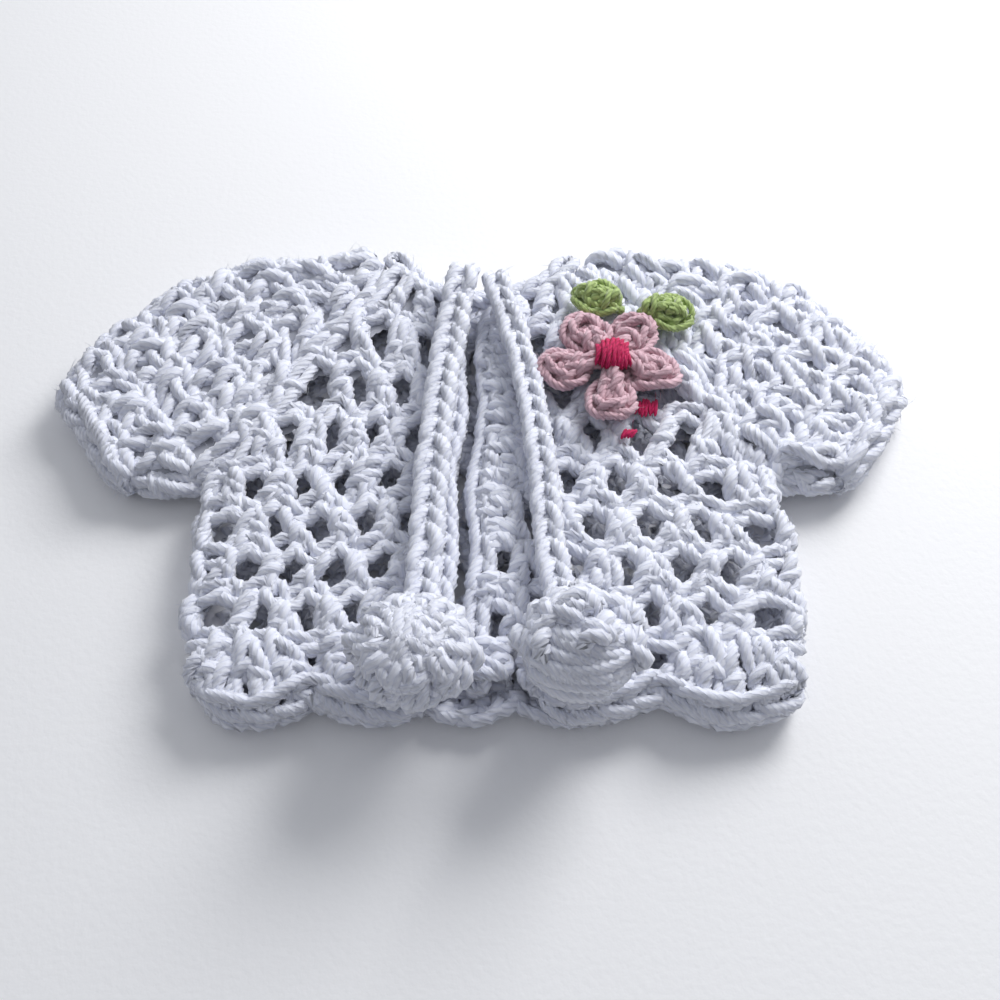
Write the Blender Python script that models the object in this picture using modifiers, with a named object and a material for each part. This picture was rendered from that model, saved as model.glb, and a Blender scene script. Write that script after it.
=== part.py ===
"""Doll's crochet cardigan in white cotton, laid flat on its back.

The hem points to -Y, the neck to +Y, and the underside of the back rests on z = 0.
Every size is in millimetres and becomes metres when a mesh is made.
The body is openwork: rows of posts and gaps run from the neck down to a scalloped hem.
"""

import math

import bmesh
import bpy
from mathutils import Euler, Vector
from mathutils.geometry import delaunay_2d_cdt

MM = 0.001
CENTRE_Y = 0.6  # the whole garment is moved by this, so that the origin is under its middle
SEAM = 0.3  # the space left between two pieces that are sewn or worked together

# heights of the two layers of cloth
CLOTH = 3.6
FRONT_LOW = CLOTH + SEAM
FRONT_TOP = FRONT_LOW + 3.4
STITCH_RELIEF = 0.9
EDGE_DROP = 2.2  # how far the top of a layer rolls down at a folded side
ROLL_WIDTH = 4.0

# the outline from the neck round to the hem, for the left half (-1) and the right half (1), which lies wider
NECK_CORNER = (15.4, 40.8)
SHOULDER = [(17.4, 42.9), (31.0, 42.2), (43.0, 40.2), (51.0, 36.0), (61.6, 24.6), (67.0, 13.5)]
CUFF_LOW = {-1: (53.8, -4.4), 1: (55.6, -3.6)}
ARMPIT = {-1: (40.6, -4.8), 1: (43.7, -4.8)}
HEM_ROW_Y = -33.0
HEM_CORNER = {-1: (40.1, HEM_ROW_Y), 1: (45.3, HEM_ROW_Y)}
SIDE_BULGE = 1.0
EDGE_BOW = 0.15  # how far the raglan and the last row bow inwards
NECK_FRONT_Y = 31.5
NECK_BACK_Y = 35.2
NECK_SCOOP = 2.4

# the rows of openwork, counted from the neck
ROWS = 8
YOKE_ROWS = 4
FRONT_UNITS = {"neck": 1.4, "body": 5}  # how many units of stitches a panel is wide
BACK_UNITS = {"neck": 4.4, "body": 12}
DENSE_ROWS = 1  # rows below the neck whose gaps are too small to cut
HOLE_WIDE = 0.29  # half of a gap's width, as a share of its unit
HOLE_TALL = 0.27  # half of a gap's height, as a share of its row
CUT_MARGIN = 0.035  # how far the gaps stay from a panel's edge, as a share of its width

# the front opening and its bands
OPENING_TOP_X = -1.1
OPENING_LOW_X = -2.9
OPENING_GAP = 1.0
BAND_WIDTH = {-1: 3.0, 1: 6.0}  # a chain on the left, a chain and bars beside it on the right
BAND_BOW = 0.1  # how far a front's inner edge bows towards its band
BAND_CHAIN = 3.0  # how much of a band its chain edge takes
BAND_LOW_Y = -40.6
BAND_BARS = 15

# sleeves
SLEEVE_ROWS = 7
SLEEVE_STITCHES = 7
SLEEVE_START = 0.045  # where the cap begins, as a share of the way from the neck corner to the cuff
SLEEVE_END = 0.975
CUFF_RADIUS = 1.9
CUFF_CLEAR = 0.4

# scalloped hem: the ends and the lowest point of each shell, for the right and the left half
SHELL_EDGES = {1: [4.6, 24.4, 44.7], -1: [-39.6, -22.9, -7.2]}
SHELL_DEPTH = 10.4
SHELL_NOTCH = 7.2
SHELL_FAN = 5
HEM_DROP = 1.4

# neck edging, ties and bobbles
EDGING_RADIUS = 1.5
TIE_DIAMETER = 4.2
TIE_POINTS = 34
TIE_ROUTES = {
    -1: [(-2.6, 35.4, 6.4), (-2.6, 35.4, 9.2), (-2.9, 33.6, 11.6), (-3.6, 29.4, 11.6), (-4.8, 20.0, 10.9),
         (-6.1, 8.0, 10.8), (-7.0, -8.0, 10.8), (-7.3, -20.0, 10.8), (-7.6, -31.4, 11.6)],
    1: [(2.2, 35.0, 6.4), (2.2, 34.4, 9.0), (2.4, 32.2, 11.2), (3.3, 27.8, 11.4), (5.9, 18.0, 10.9),
        (8.0, 6.0, 10.8), (9.4, -8.0, 10.8), (10.1, -20.0, 10.8), (11.6, -31.0, 11.6)],
}
BOBBLES = {-1: (-8.3, -38.8), 1: (13.4, -38.4)}
BOBBLE_RADII = (7.6, 7.0, 6.2)
BOBBLE_RIDGES = 9
BOBBLE_RIDGE_DEPTH = 0.07
BOBBLE_Z = 14.6

# the flower and its leaves
FLOWER = (20.6, 14.9)
PETALS = 5
PETAL_REACH = 6.3
PETAL_RADIUS = 3.85
PETAL_LONG = 1.14
PETAL_WIDE = 0.9
PETAL_START = math.radians(-97)
PETAL_TILT = math.radians(13)
PETAL_RAISE = 1.25
PETAL_LIFT = 3.2
PETAL_PROFILE = [(0.0, 1.1), (0.32, 1.25), (0.62, 2.25), (0.86, 2.3), (1.0, 1.35), (0.93, 0.35), (0.55, 0.0), (0.0, 0.0)]
PETAL_STEPS = 14
KNOT_SIZE = (5.4, 4.8, 2.8)
LEAVES = [(-1.4, 13.6, 154), (9.6, 11.4, -8)]
LEAF_SIZE = (9.6, 6.6, 1.9)
LEAF_GROOVE = 0.35

WHITE = (0.86, 0.87, 0.92)
COLOURS = {
    "white_cotton": WHITE,
    "pink_cotton": (0.78, 0.50, 0.52),
    "crimson_floss": (0.55, 0.01, 0.10),
    "green_cotton": (0.24, 0.40, 0.07),
}


def mix(a, b, share):
    return tuple(p + (q - p) * share for p, q in zip(a, b))


def along(points, share):
    """The point at that share of a polyline's length."""
    lengths = [math.dist(a, b) for a, b in zip(points, points[1:])]
    left = share * sum(lengths)
    for a, b, length in zip(points, points[1:], lengths):
        if left <= length:
            return mix(a, b, left / length)
        left -= length
    return points[-1]


def opening_x(y):
    """Where the front opening lies at that height on the front."""
    return OPENING_TOP_X + (OPENING_LOW_X - OPENING_TOP_X) * (NECK_FRONT_Y - y) / (NECK_FRONT_Y - HEM_ROW_Y)


def outer_edge(side, row):
    """The raglan line down to the armpit, then the side down to the hem."""
    if row <= YOKE_ROWS:
        x, y = mix(NECK_CORNER, ARMPIT[side], row / YOKE_ROWS)
        return x - EDGE_BOW * math.sin(math.pi * row / YOKE_ROWS), y
    share = (row - YOKE_ROWS) / (ROWS - YOKE_ROWS)
    x, y = mix(ARMPIT[side], HEM_CORNER[side], share)
    return x + SIDE_BULGE * math.sin(math.pi * share), y


def front_point(side, across, row):
    """A point of a front: across is 0 at the band and 1 at the raglan or side, row counts from the neck."""
    y_in = NECK_FRONT_Y + (HEM_ROW_Y - NECK_FRONT_Y) * row / ROWS
    bow = BAND_BOW * math.sin(math.pi * row / ROWS)
    x_in = opening_x(y_in) + side * (OPENING_GAP / 2 + BAND_WIDTH[side] + SEAM + BAND_BOW - bow)
    x_out, y_out = outer_edge(side, row)
    scoop = NECK_SCOOP * math.sin(math.pi * across) * max(0.0, 1 - row)
    bow = EDGE_BOW * math.sin(math.pi * across) * max(0.0, row - ROWS + 1)
    return x_in + (side * x_out - x_in) * across, y_in + (y_out - y_in) * across - scoop + bow


def back_point(across, row):
    """A point of the back: across runs from -1 at one side to 1 at the other."""
    y_in = NECK_BACK_Y + (HEM_ROW_Y - NECK_BACK_Y) * row / ROWS
    x_out, y_out = outer_edge(1 if across > 0 else -1, row)
    bow = EDGE_BOW * (1 - across * across) * max(0.0, row - ROWS + 1)
    return across * x_out, y_in + (y_out - y_in) * across * across + bow


def side_roll(x, y, row):
    """How far the top of a front rolls down towards the folded side, below the armpit."""
    if row < YOKE_ROWS:
        return 0.0
    inside = outer_edge(1 if x > 0 else -1, row)[0] - abs(x)
    return EDGE_DROP * max(0.0, 1 - inside / ROLL_WIDTH) ** 2


def inside_loop(point, loop):
    """Whether a point lies inside a closed polygon."""
    x, y = point
    found = False
    for (x1, y1), (x2, y2) in zip(loop, loop[1:] + loop[:1]):
        if (y1 > y) != (y2 > y) and x < x1 + (x2 - x1) * (y - y1) / (y2 - y1):
            found = not found
    return found


def keep_object(name, mesh, material, parent):
    obj = bpy.data.objects.new(name, mesh)
    parent.objects.link(obj)
    if material.name not in [m.name for m in mesh.materials]:
        mesh.materials.append(material)
    return obj


def mesh_from(name, bm):
    bmesh.ops.recalc_face_normals(bm, faces=bm.faces[:])
    mesh = bpy.data.meshes.new(name)
    bm.to_mesh(mesh)
    bm.free()
    return mesh


def cut_sheet(name, outline, holes, raised, top_height, low):
    """A wall with gaps cut through it: an open sheet of triangles whose outer points carry the relief,
    extruded down to a plain inner face at the height low. raised holds extra (x, y) points on ridges."""
    flat = list(outline)
    edges = [(i, (i + 1) % len(outline)) for i in range(len(outline))]
    for hole in holes:
        first = len(flat)
        edges += [(first + i, first + (i + 1) % len(hole)) for i in range(len(hole))]
        flat += hole
    ridge_from = len(flat)
    flat += raised
    found = delaunay_2d_cdt([Vector(p) for p in flat], edges, [], 0, 1e-5, True)
    points, _, triangles, sources = found[0], found[1], found[2], found[3]
    bm = bmesh.new()
    corners = []
    for point, source in zip(points, sources):
        on_ridge = bool(source) and min(source) >= ridge_from
        corners.append(bm.verts.new((point.x * MM, point.y * MM, top_height(point.x, point.y, on_ridge) * MM)))
    for triangle in triangles:
        middle = sum((points[i] for i in triangle), Vector((0, 0))) / 3
        if inside_loop(middle, outline) and not any(inside_loop(middle, hole) for hole in holes):
            bm.faces.new([corners[i] for i in triangle])
    bmesh.ops.delete(bm, geom=[v for v in bm.verts if not v.link_faces], context="VERTS")
    made = bmesh.ops.extrude_face_region(bm, geom=bm.faces[:])
    for item in made["geom"]:
        if isinstance(item, bmesh.types.BMVert):
            item.co.z = low * MM
    return mesh_from(name, bm)


def gap_loop(place, centre, half_wide, half_tall, corners):
    """A rounded gap round (unit, row), as points of the panel that place() gives."""
    loop = []
    for i in range(corners):
        angle = 2 * math.pi * (i + 0.5) / corners
        loop.append(place(centre[0] + half_wide * math.cos(angle), centre[1] + half_tall * math.sin(angle)))
    return loop


def units_at(units, row):
    """How many units a panel is wide at that place: the yoke widens from the neck down to the armpit."""
    return units["neck"] + (units["body"] - units["neck"]) * min(1.0, row / YOKE_ROWS)


def front_gaps(row):
    """Where the gaps of a front's row lie, in units from its band. Every second row is shifted by half a unit,
    so that a gap stands under the posts between two others."""
    first = 0.5 if row % 2 else 1.0
    return [first + i for i in range(int(units_at(FRONT_UNITS, row + 0.5) - first + 0.5))]


def back_gaps(row):
    """Where the gaps of the back's row lie, in units from its middle."""
    first = 0.0 if row % 2 else 0.5
    reach = units_at(BACK_UNITS, row + 0.5) / 2 - 0.5
    right = [first + i for i in range(int(reach - first) + 1)]
    return [-place for place in right if place] + right


def front_panel(side):
    """One front: its openwork, with a raised post between gaps and a raised line between rows."""
    def place(across, row):
        return front_point(side, across, row)

    def unit_place(unit, row):
        share = unit / units_at(FRONT_UNITS, row)
        return front_point(side, CUT_MARGIN + (1 - 2 * CUT_MARGIN) * share, row)

    steps = 5
    outline = [place(0, row / 2) for row in range(2 * ROWS + 1)]
    outline += [place(i / steps, ROWS) for i in range(1, steps)]
    outline += [place(1, row / 2) for row in range(2 * ROWS, -1, -1)]
    outline += [place(i / steps, 0) for i in range(steps - 1, 0, -1)]
    holes = []
    raised = []
    reach = 1.12 / corner_shrink(8)
    for row in range(ROWS):
        gaps = front_gaps(row)
        for gap in gaps:
            if row >= DENSE_ROWS:
                holes.append(gap_loop(unit_place, (gap, row + 0.5), reach * HOLE_WIDE, reach * HOLE_TALL, 8))
            else:
                raised += [unit_place(gap, row + 0.3), unit_place(gap, row + 0.7)]
        raised += [unit_place((a + b) / 2, row + 0.5) for a, b in zip(gaps, gaps[1:])]
        if row:
            raised += [unit_place((i + 0.5) / 2, row) for i in range(int(2 * units_at(FRONT_UNITS, row)))]

    def top_height(x, y, on_ridge):
        row = ROWS * (NECK_FRONT_Y - y) / (NECK_FRONT_Y - HEM_ROW_Y)
        height = FRONT_TOP + (STITCH_RELIEF if on_ridge else 0.0)
        return height - side_roll(x, y, max(YOKE_ROWS, min(ROWS, row)) if y < ARMPIT[side][1] else 0)

    return cut_sheet("front", outline, holes, raised, top_height, FRONT_LOW)


def corner_shrink(corners):
    """How much narrower than its circle a polygon with its flat sides across is."""
    return math.cos(math.pi / corners)


def back_panel():
    """The back: its openwork is cut through, and it is plain and flat, because it lies on the surface."""
    def unit_place(unit, row):
        return back_point((1 - CUT_MARGIN) * 2 * unit / units_at(BACK_UNITS, row), row)

    steps = 10
    outline = [back_point(-1, row / 2) for row in range(2 * ROWS + 1)]
    outline += [back_point(-1 + 2 * i / steps, ROWS) for i in range(1, steps)]
    outline += [back_point(1, row / 2) for row in range(2 * ROWS, -1, -1)]
    outline += [back_point(1 - 2 * i / steps, 0) for i in range(1, steps)]
    holes = []
    reach = 1.1 / corner_shrink(6)
    for row in range(DENSE_ROWS, ROWS):
        for gap in back_gaps(row):
            holes.append(gap_loop(unit_place, (gap, row + 0.5), reach * HOLE_WIDE, reach * HOLE_TALL, 6))
    return cut_sheet("back", outline, holes, [], lambda x, y, on_ridge: CLOTH, 0.0)


def sleeve_ends(side, share):
    """The two ends of a row of the sleeve: at the raglan or underarm, and at the shoulder fold."""
    low = along([NECK_CORNER, ARMPIT[side], CUFF_LOW[side]], share)
    high = along(SHOULDER, share)
    return low, high


def grid_sheet(name, grid, low):
    """A wall whose outer points are a grid, extruded down to a plain inner face at the height low."""
    bm = bmesh.new()
    rows = [[bm.verts.new(Vector(point) * MM) for point in line] for line in grid]
    for near, far in zip(rows, rows[1:]):
        for a, b, c, d in zip(near, near[1:], far[1:], far):
            bm.faces.new((a, b, c, d))
    made = bmesh.ops.extrude_face_region(bm, geom=bm.faces[:])
    for item in made["geom"]:
        if isinstance(item, bmesh.types.BMVert):
            item.co.z = low * MM
    return mesh_from(name, bm)


def sleeve_row(side, share, places):
    """Points across a row of the sleeve. places are (share across, height), from the raglan to the fold."""
    low, high = sleeve_ends(side, share)
    start = mix(low, high, SEAM * 1.6 / math.dist(low, high))
    points = []
    for across, z in places:
        x, y = mix(start, high, across)
        points.append((side * x, y, z))
    return points


def sleeve_upper(side):
    """The upper layer of a sleeve: raised posts run to the cuff, with a hollow line between rows."""
    grid = []
    sub_rows = 2
    half_stitches = 2 * SLEEVE_STITCHES
    for step in range(SLEEVE_ROWS * sub_rows + 1):
        share = SLEEVE_START + (SLEEVE_END - SLEEVE_START) * step / (SLEEVE_ROWS * sub_rows)
        in_row = 1.0 if step % sub_rows else 0.3
        at_underarm = sleeve_ends(side, share)[0][0] >= ARMPIT[side][0]
        places = []
        for i in range(half_stitches + 1):
            across = 0.93 * i / half_stitches
            roll = EDGE_DROP * max(0.0, 1 - across / 0.12) ** 2 if at_underarm else 0.0
            places.append((across, FRONT_TOP + STITCH_RELIEF * in_row * (i % 2) - roll))
        places += [(0.975, 6.3), (1.0, 4.6)]
        grid.append(sleeve_row(side, share, places))
    return grid_sheet("sleeve_upper", grid, FRONT_LOW)


def sleeve_under(side):
    """The under layer of a sleeve, plain and flat, because it lies on the surface."""
    grid = []
    for step in range(SLEEVE_ROWS + 1):
        share = SLEEVE_START + (SLEEVE_END - SLEEVE_START) * step / SLEEVE_ROWS
        grid.append(sleeve_row(side, share, [(0.0, CLOTH), (0.5, CLOTH), (0.98, CLOTH)]))
    return grid_sheet("sleeve_under", grid, 0.0)


def smooth_route(points, count):
    """A smooth curve through the points, as that many evenly numbered points (a Catmull-Rom curve)."""
    ends = [mix(points[0], points[1], -1), *points, mix(points[-1], points[-2], -1)]
    route = []
    for i in range(count):
        place = i / (count - 1) * (len(points) - 1)
        k = min(int(place), len(points) - 2)
        f = place - k
        p0, p1, p2, p3 = ends[k:k + 4]
        route.append(tuple(
            0.5 * (2 * b + (c - a) * f + (2 * a - 5 * b + 4 * c - d) * f * f + (3 * b - 3 * c + d - a) * f ** 3)
            for a, b, c, d in zip(p0, p1, p2, p3)
        ))
    return route


def tube(name, route, radius, closed=False, resolution=2):
    """A round cord along a route, as a curve with a bevel."""
    curve = bpy.data.curves.new(name, "CURVE")
    curve.dimensions = "3D"
    curve.bevel_depth = radius * MM
    curve.bevel_resolution = resolution
    curve.use_fill_caps = not closed
    spline = curve.splines.new("POLY")
    spline.points.add(len(route) - 1)
    for point, place in zip(spline.points, route):
        point.co = (*(Vector(place) * MM), 1)
    spline.use_cyclic_u = closed
    return curve


def neck_edging():
    """A chain worked round the neck: up one front, down to the back at the corner, and up the other front."""
    front_z = FRONT_LOW + EDGING_RADIUS + 0.3
    back_z = EDGING_RADIUS + 0.2
    clear = EDGING_RADIUS + 2 * SEAM
    halves = {}
    for side in (-1, 1):
        front = []
        for i in range(7):
            across = 0.1 + 0.8 * i / 6
            x, y = front_point(side, across, 0)
            ahead = front_point(side, across + 0.05, 0)
            run = Vector((ahead[0] - x, ahead[1] - y)).normalized() * side
            front.append((x - run.y * clear, y + run.x * clear, front_z))
        back = []
        for i in range(4):
            x, y = back_point(side * (0.93 - 0.28 * i), 0)
            back.append((x, y + clear + 0.3, back_z))
        corner_x = side * (NECK_CORNER[0] + 0.5)
        corner = [(corner_x, NECK_CORNER[1] + clear + 0.5, (front_z + back_z) / 2)]
        halves[side] = smooth_route(front + corner + back, 26)
    return tube("neck_edging", halves[-1] + halves[1][::-1], EDGING_RADIUS)


def cuff_edging(side):
    """The last round at the cuff: a thick chain that runs over the front layer and back under it."""
    low, high = sleeve_ends(side, SLEEVE_END)
    run = Vector((high[0] - low[0], high[1] - low[1])).normalized()
    out = Vector((run.y, -run.x))
    shift = CUFF_RADIUS + CUFF_CLEAR
    ends = [Vector(low) + out * shift - run * 0.4, Vector(high) + out * shift - run * 1.2]
    top_z = FRONT_LOW + CUFF_RADIUS + 0.1
    low_z = CUFF_RADIUS + 0.05
    middle = (top_z + low_z) / 2
    turn = (top_z - low_z) / 2
    route = []
    for start, end, up in ((ends[0], ends[1], 1), (ends[1], ends[0], -1)):
        for i in range(6):
            place = start.lerp(end, (i + 0.5) / 6)
            route.append((side * place.x, place.y, middle + up * turn))
        tip = end + (end - start).normalized() * turn * 0.8
        route.append((side * tip.x, tip.y, middle))
    return tube("cuff_edging", route, CUFF_RADIUS, closed=True)


def front_band(side):
    """The band along the opening: a rounded chain edge, and bars that run across to the front."""
    steps = 2 * BAND_BARS
    grid = []
    for i in range(steps + 1):
        y = NECK_FRONT_Y + (BAND_LOW_Y - NECK_FRONT_Y) * i / steps
        relief = STITCH_RELIEF * (i % 2)
        edge = opening_x(y) + side * OPENING_GAP / 2
        low_end = HEM_DROP * max(0.0, (HEM_ROW_Y - y) / (HEM_ROW_Y - BAND_LOW_Y))
        profile = [(0.0, FRONT_TOP - 0.9), (0.35, FRONT_TOP + 0.4 + relief / 2), (0.7, FRONT_TOP + 0.4 + relief / 2),
                   (1.0, FRONT_TOP - 0.2)]
        places = [(BAND_CHAIN * a, z) for a, z in profile]
        if BAND_WIDTH[side] > BAND_CHAIN:
            places += [(BAND_CHAIN + 0.9, FRONT_TOP + relief), (BAND_WIDTH[side] - 0.4, FRONT_TOP + relief),
                       (BAND_WIDTH[side], FRONT_TOP - 0.2)]
        grid.append([(edge + side * a, y, z - low_end) for a, z in places])
    return grid_sheet("band", grid, FRONT_LOW)


def scallop(start, end, steps=8):
    """The lower edge of one shell, from start to end along x."""
    line = []
    for i in range(steps + 1):
        share = i / steps
        depth = SHELL_NOTCH + (SHELL_DEPTH - SHELL_NOTCH) * math.sin(math.pi * share) ** 0.7
        line.append((start + (end - start) * share, HEM_ROW_Y - depth))
    return line


def hem_outline(edges):
    """The outline of a strip of shells whose ends are these places along x, in order."""
    top = HEM_ROW_Y - SEAM
    outline = [(edges[0], top)]
    for start, end in zip(edges, edges[1:]):
        outline += scallop(start, end)[0 if start == edges[0] else 1:]
    outline.append((edges[-1], top))
    steps = 8
    outline += [(edges[-1] + (edges[0] - edges[-1]) * i / steps, top) for i in range(1, steps)]
    return outline


def fan_points(start, end):
    """Points on the raised posts that fan out from the middle of a shell's upper edge."""
    middle = (start + end) / 2
    points = []
    for i in range(SHELL_FAN):
        angle = math.radians(62) * (2 * i / (SHELL_FAN - 1) - 1)
        for reach in (0.5, 0.84):
            x = middle + (end - start) / 2 * reach * math.sin(angle)
            points.append((x, HEM_ROW_Y - SHELL_DEPTH * (0.12 + 0.72 * reach * math.cos(angle))))
    return points


def front_hem(side):
    """The shells under one front, with raised posts."""
    edges = SHELL_EDGES[side]
    raised = [p for start, end in zip(edges, edges[1:]) for p in fan_points(start, end)]

    def top_height(x, y, on_ridge):
        drop = HEM_DROP * max(0.0, (HEM_ROW_Y - y) / SHELL_DEPTH) ** 2
        inside = HEM_CORNER[side][0] - abs(x)
        roll = EDGE_DROP * max(0.0, 1 - inside / ROLL_WIDTH) ** 2
        return FRONT_TOP - drop - roll + (STITCH_RELIEF if on_ridge else -0.2)

    return cut_sheet("hem", hem_outline(edges), [], raised, top_height, FRONT_LOW)


def back_hem():
    """The shells under the back, plain and flat."""
    edges = SHELL_EDGES[-1] + SHELL_EDGES[1]
    return cut_sheet("hem", hem_outline(edges), [], [], lambda x, y, on_ridge: CLOTH, 0.0)


def bobble(side):
    """A round bobble at the end of a tie, with ridges where its stitches pull in."""
    bm = bmesh.new()
    bmesh.ops.create_uvsphere(bm, u_segments=2 * BOBBLE_RIDGES, v_segments=10, radius=1.0)
    x, y = BOBBLES[side]
    for vert in bm.verts:
        turn = math.atan2(vert.co.y, vert.co.x)
        belt = math.hypot(vert.co.x, vert.co.y)
        pull = 1 + BOBBLE_RIDGE_DEPTH * belt * math.cos(BOBBLE_RIDGES * turn)
        vert.co = Vector(c * pull * r for c, r in zip(vert.co, BOBBLE_RADII))
        vert.co = (vert.co + Vector((x, y, BOBBLE_Z))) * MM
    return mesh_from("bobble", bm)


def petal_mesh():
    """A petal as a turned dish: a thick rim round a dip, where the loops of the petal meet."""
    mesh = bpy.data.meshes.new("petal")
    points = [(r * PETAL_RADIUS * MM, 0, z * MM) for r, z in PETAL_PROFILE]
    mesh.from_pydata(points[::-1], [(i, i + 1) for i in range(len(points) - 1)], [])
    return mesh


def add_screw(obj, steps):
    screw = obj.modifiers.new("turn", "SCREW")
    screw.axis = "Z"
    screw.steps = steps
    screw.render_steps = steps
    screw.use_merge_vertices = True
    screw.merge_threshold = 0.00001
    screw.use_normal_calculate = True


def leaf_mesh():
    """A pointed leaf, thick at its rim, with a groove along its middle."""
    bm = bmesh.new()
    bmesh.ops.create_uvsphere(bm, u_segments=14, v_segments=8, radius=0.5)
    for vert in bm.verts:
        x, y, z = vert.co
        narrow = 1 - 0.55 * max(0.0, 2 * x) ** 2
        groove = LEAF_GROOVE * math.exp(-((y * 7) ** 2)) if z > 0.1 else 0.0
        vert.co = Vector((x * LEAF_SIZE[0], y * LEAF_SIZE[1] * narrow, (z - groove * z) * LEAF_SIZE[2])) * MM
    return mesh_from("leaf", bm)


def knot_mesh():
    """The satin-stitched middle of the flower: a low pad with rounded corners."""
    bm = bmesh.new()
    bmesh.ops.create_cube(bm, size=1.0)
    bmesh.ops.subdivide_edges(bm, edges=bm.edges[:], cuts=4, use_grid_fill=True)
    for vert in bm.verts:
        x, y, z = vert.co
        crown = math.sqrt(max(0.0, 1 - 1.5 * (x * x + y * y)))
        high = z * KNOT_SIZE[2] * (0.45 + 0.55 * crown) if z > 0 else z * KNOT_SIZE[2] * 0.6
        vert.co = Vector((x * KNOT_SIZE[0] * (1 - 0.3 * y * y), y * KNOT_SIZE[1] * (1 - 0.3 * x * x), high)) * MM
    return mesh_from("knot", bm)


def add_flower(materials, parts):
    """Five petals round a stitched middle, and two leaves behind them, all sewn to the right front."""
    cloth_top = FRONT_TOP + STITCH_RELIEF + SEAM
    dish = petal_mesh()
    for i in range(PETALS):
        angle = PETAL_START + 2 * math.pi * i / PETALS
        petal = keep_object(f"petal_{i + 1}", dish, materials["pink_cotton"], parts)
        add_screw(petal, PETAL_STEPS)
        petal.rotation_euler = Euler((0, -PETAL_TILT, angle), "XYZ")
        petal.scale = (PETAL_LONG, PETAL_WIDE, 1)
        reach = PETAL_REACH * 1.12
        petal.location = Vector((
            FLOWER[0] + reach * math.cos(angle), FLOWER[1] + reach * math.sin(angle), cloth_top + PETAL_RAISE,
        )) * MM
    knot = keep_object("flower_middle", knot_mesh(), materials["crimson_floss"], parts)
    knot.location = Vector((FLOWER[0], FLOWER[1], cloth_top + PETAL_LIFT + 0.6)) * MM
    for i, (dx, dy, turn) in enumerate(LEAVES):
        leaf = keep_object(f"leaf_{i + 1}", leaf_mesh(), materials["green_cotton"], parts)
        leaf.location = Vector((FLOWER[0] + dx, FLOWER[1] + dy, cloth_top + LEAF_SIZE[2] / 2)) * MM
        leaf.rotation_euler = Euler((0, 0, math.radians(turn)), "XYZ")


def make_materials():
    made = {}
    for name, colour in COLOURS.items():
        material = bpy.data.materials.new(name)
        material.use_nodes = True
        shader = material.node_tree.nodes["Principled BSDF"]
        shader.inputs["Base Color"].default_value = (*colour, 1)
        shader.inputs["Roughness"].default_value = 0.85
        shader.inputs["Metallic"].default_value = 0.0
        made[name] = material
    return made


def main():
    for obj in list(bpy.data.objects):
        bpy.data.objects.remove(obj)
    parts = bpy.data.collections.new("crochet_cardigan")
    bpy.context.scene.collection.children.link(parts)
    materials = make_materials()
    white = materials["white_cotton"]
    keep_object("back_panel", back_panel(), white, parts)
    keep_object("hem_shells_back", back_hem(), white, parts)
    keep_object("neck_edging", neck_edging(), white, parts)
    for side, word in ((-1, "left"), (1, "right")):
        keep_object(f"front_{word}", front_panel(side), white, parts)
        keep_object(f"sleeve_{word}_upper", sleeve_upper(side), white, parts)
        keep_object(f"sleeve_{word}_under", sleeve_under(side), white, parts)
        keep_object(f"front_band_{word}", front_band(side), white, parts)
        keep_object(f"cuff_edging_{word}", cuff_edging(side), white, parts)
        keep_object(f"hem_shells_{word}", front_hem(side), white, parts)
        keep_object(f"tie_{word}", tube("tie", smooth_route(TIE_ROUTES[side], TIE_POINTS), TIE_DIAMETER / 2),
                    white, parts)
        keep_object(f"bobble_{word}", bobble(side), white, parts)
    add_flower(materials, parts)
    for obj in parts.objects:
        obj.location.y -= CENTRE_Y * MM


main()
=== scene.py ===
"""Looks of a doll's crochet cardigan in white cotton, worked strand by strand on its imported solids.

Sizes are in millimetres and become metres when a mesh is made. The hem points to -Y and the neck to +Y.
"""

import math

import bpy
import numpy as np
from bpy.props import FloatProperty, FloatVectorProperty, IntProperty, PointerProperty
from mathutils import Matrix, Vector


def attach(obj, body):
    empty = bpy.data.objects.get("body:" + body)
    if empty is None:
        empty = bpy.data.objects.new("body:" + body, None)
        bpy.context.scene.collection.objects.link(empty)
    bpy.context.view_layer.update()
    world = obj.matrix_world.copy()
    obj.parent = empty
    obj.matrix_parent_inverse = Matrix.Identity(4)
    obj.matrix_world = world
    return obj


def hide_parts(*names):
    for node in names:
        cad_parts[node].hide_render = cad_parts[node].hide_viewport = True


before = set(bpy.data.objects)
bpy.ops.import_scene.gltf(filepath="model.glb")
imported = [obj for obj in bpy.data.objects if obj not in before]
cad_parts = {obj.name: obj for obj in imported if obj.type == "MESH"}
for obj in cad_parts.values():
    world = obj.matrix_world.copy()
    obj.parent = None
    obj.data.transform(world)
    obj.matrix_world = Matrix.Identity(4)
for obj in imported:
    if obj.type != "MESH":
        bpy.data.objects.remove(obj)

bl_info = {
    "name": "Crochet Cardigan",
    "version": (1, 0, 0),
    "blender": (4, 5, 0),
    "location": "View3D > Sidebar > Cardigan",
    "description": "Makes the yarn, flower, ties and stage of a doll's crochet cardigan",
    "category": "Object",
}

MM = 0.001
CENTRE_Y = 0.6  # the middle of the cut, which lies at the origin

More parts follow.
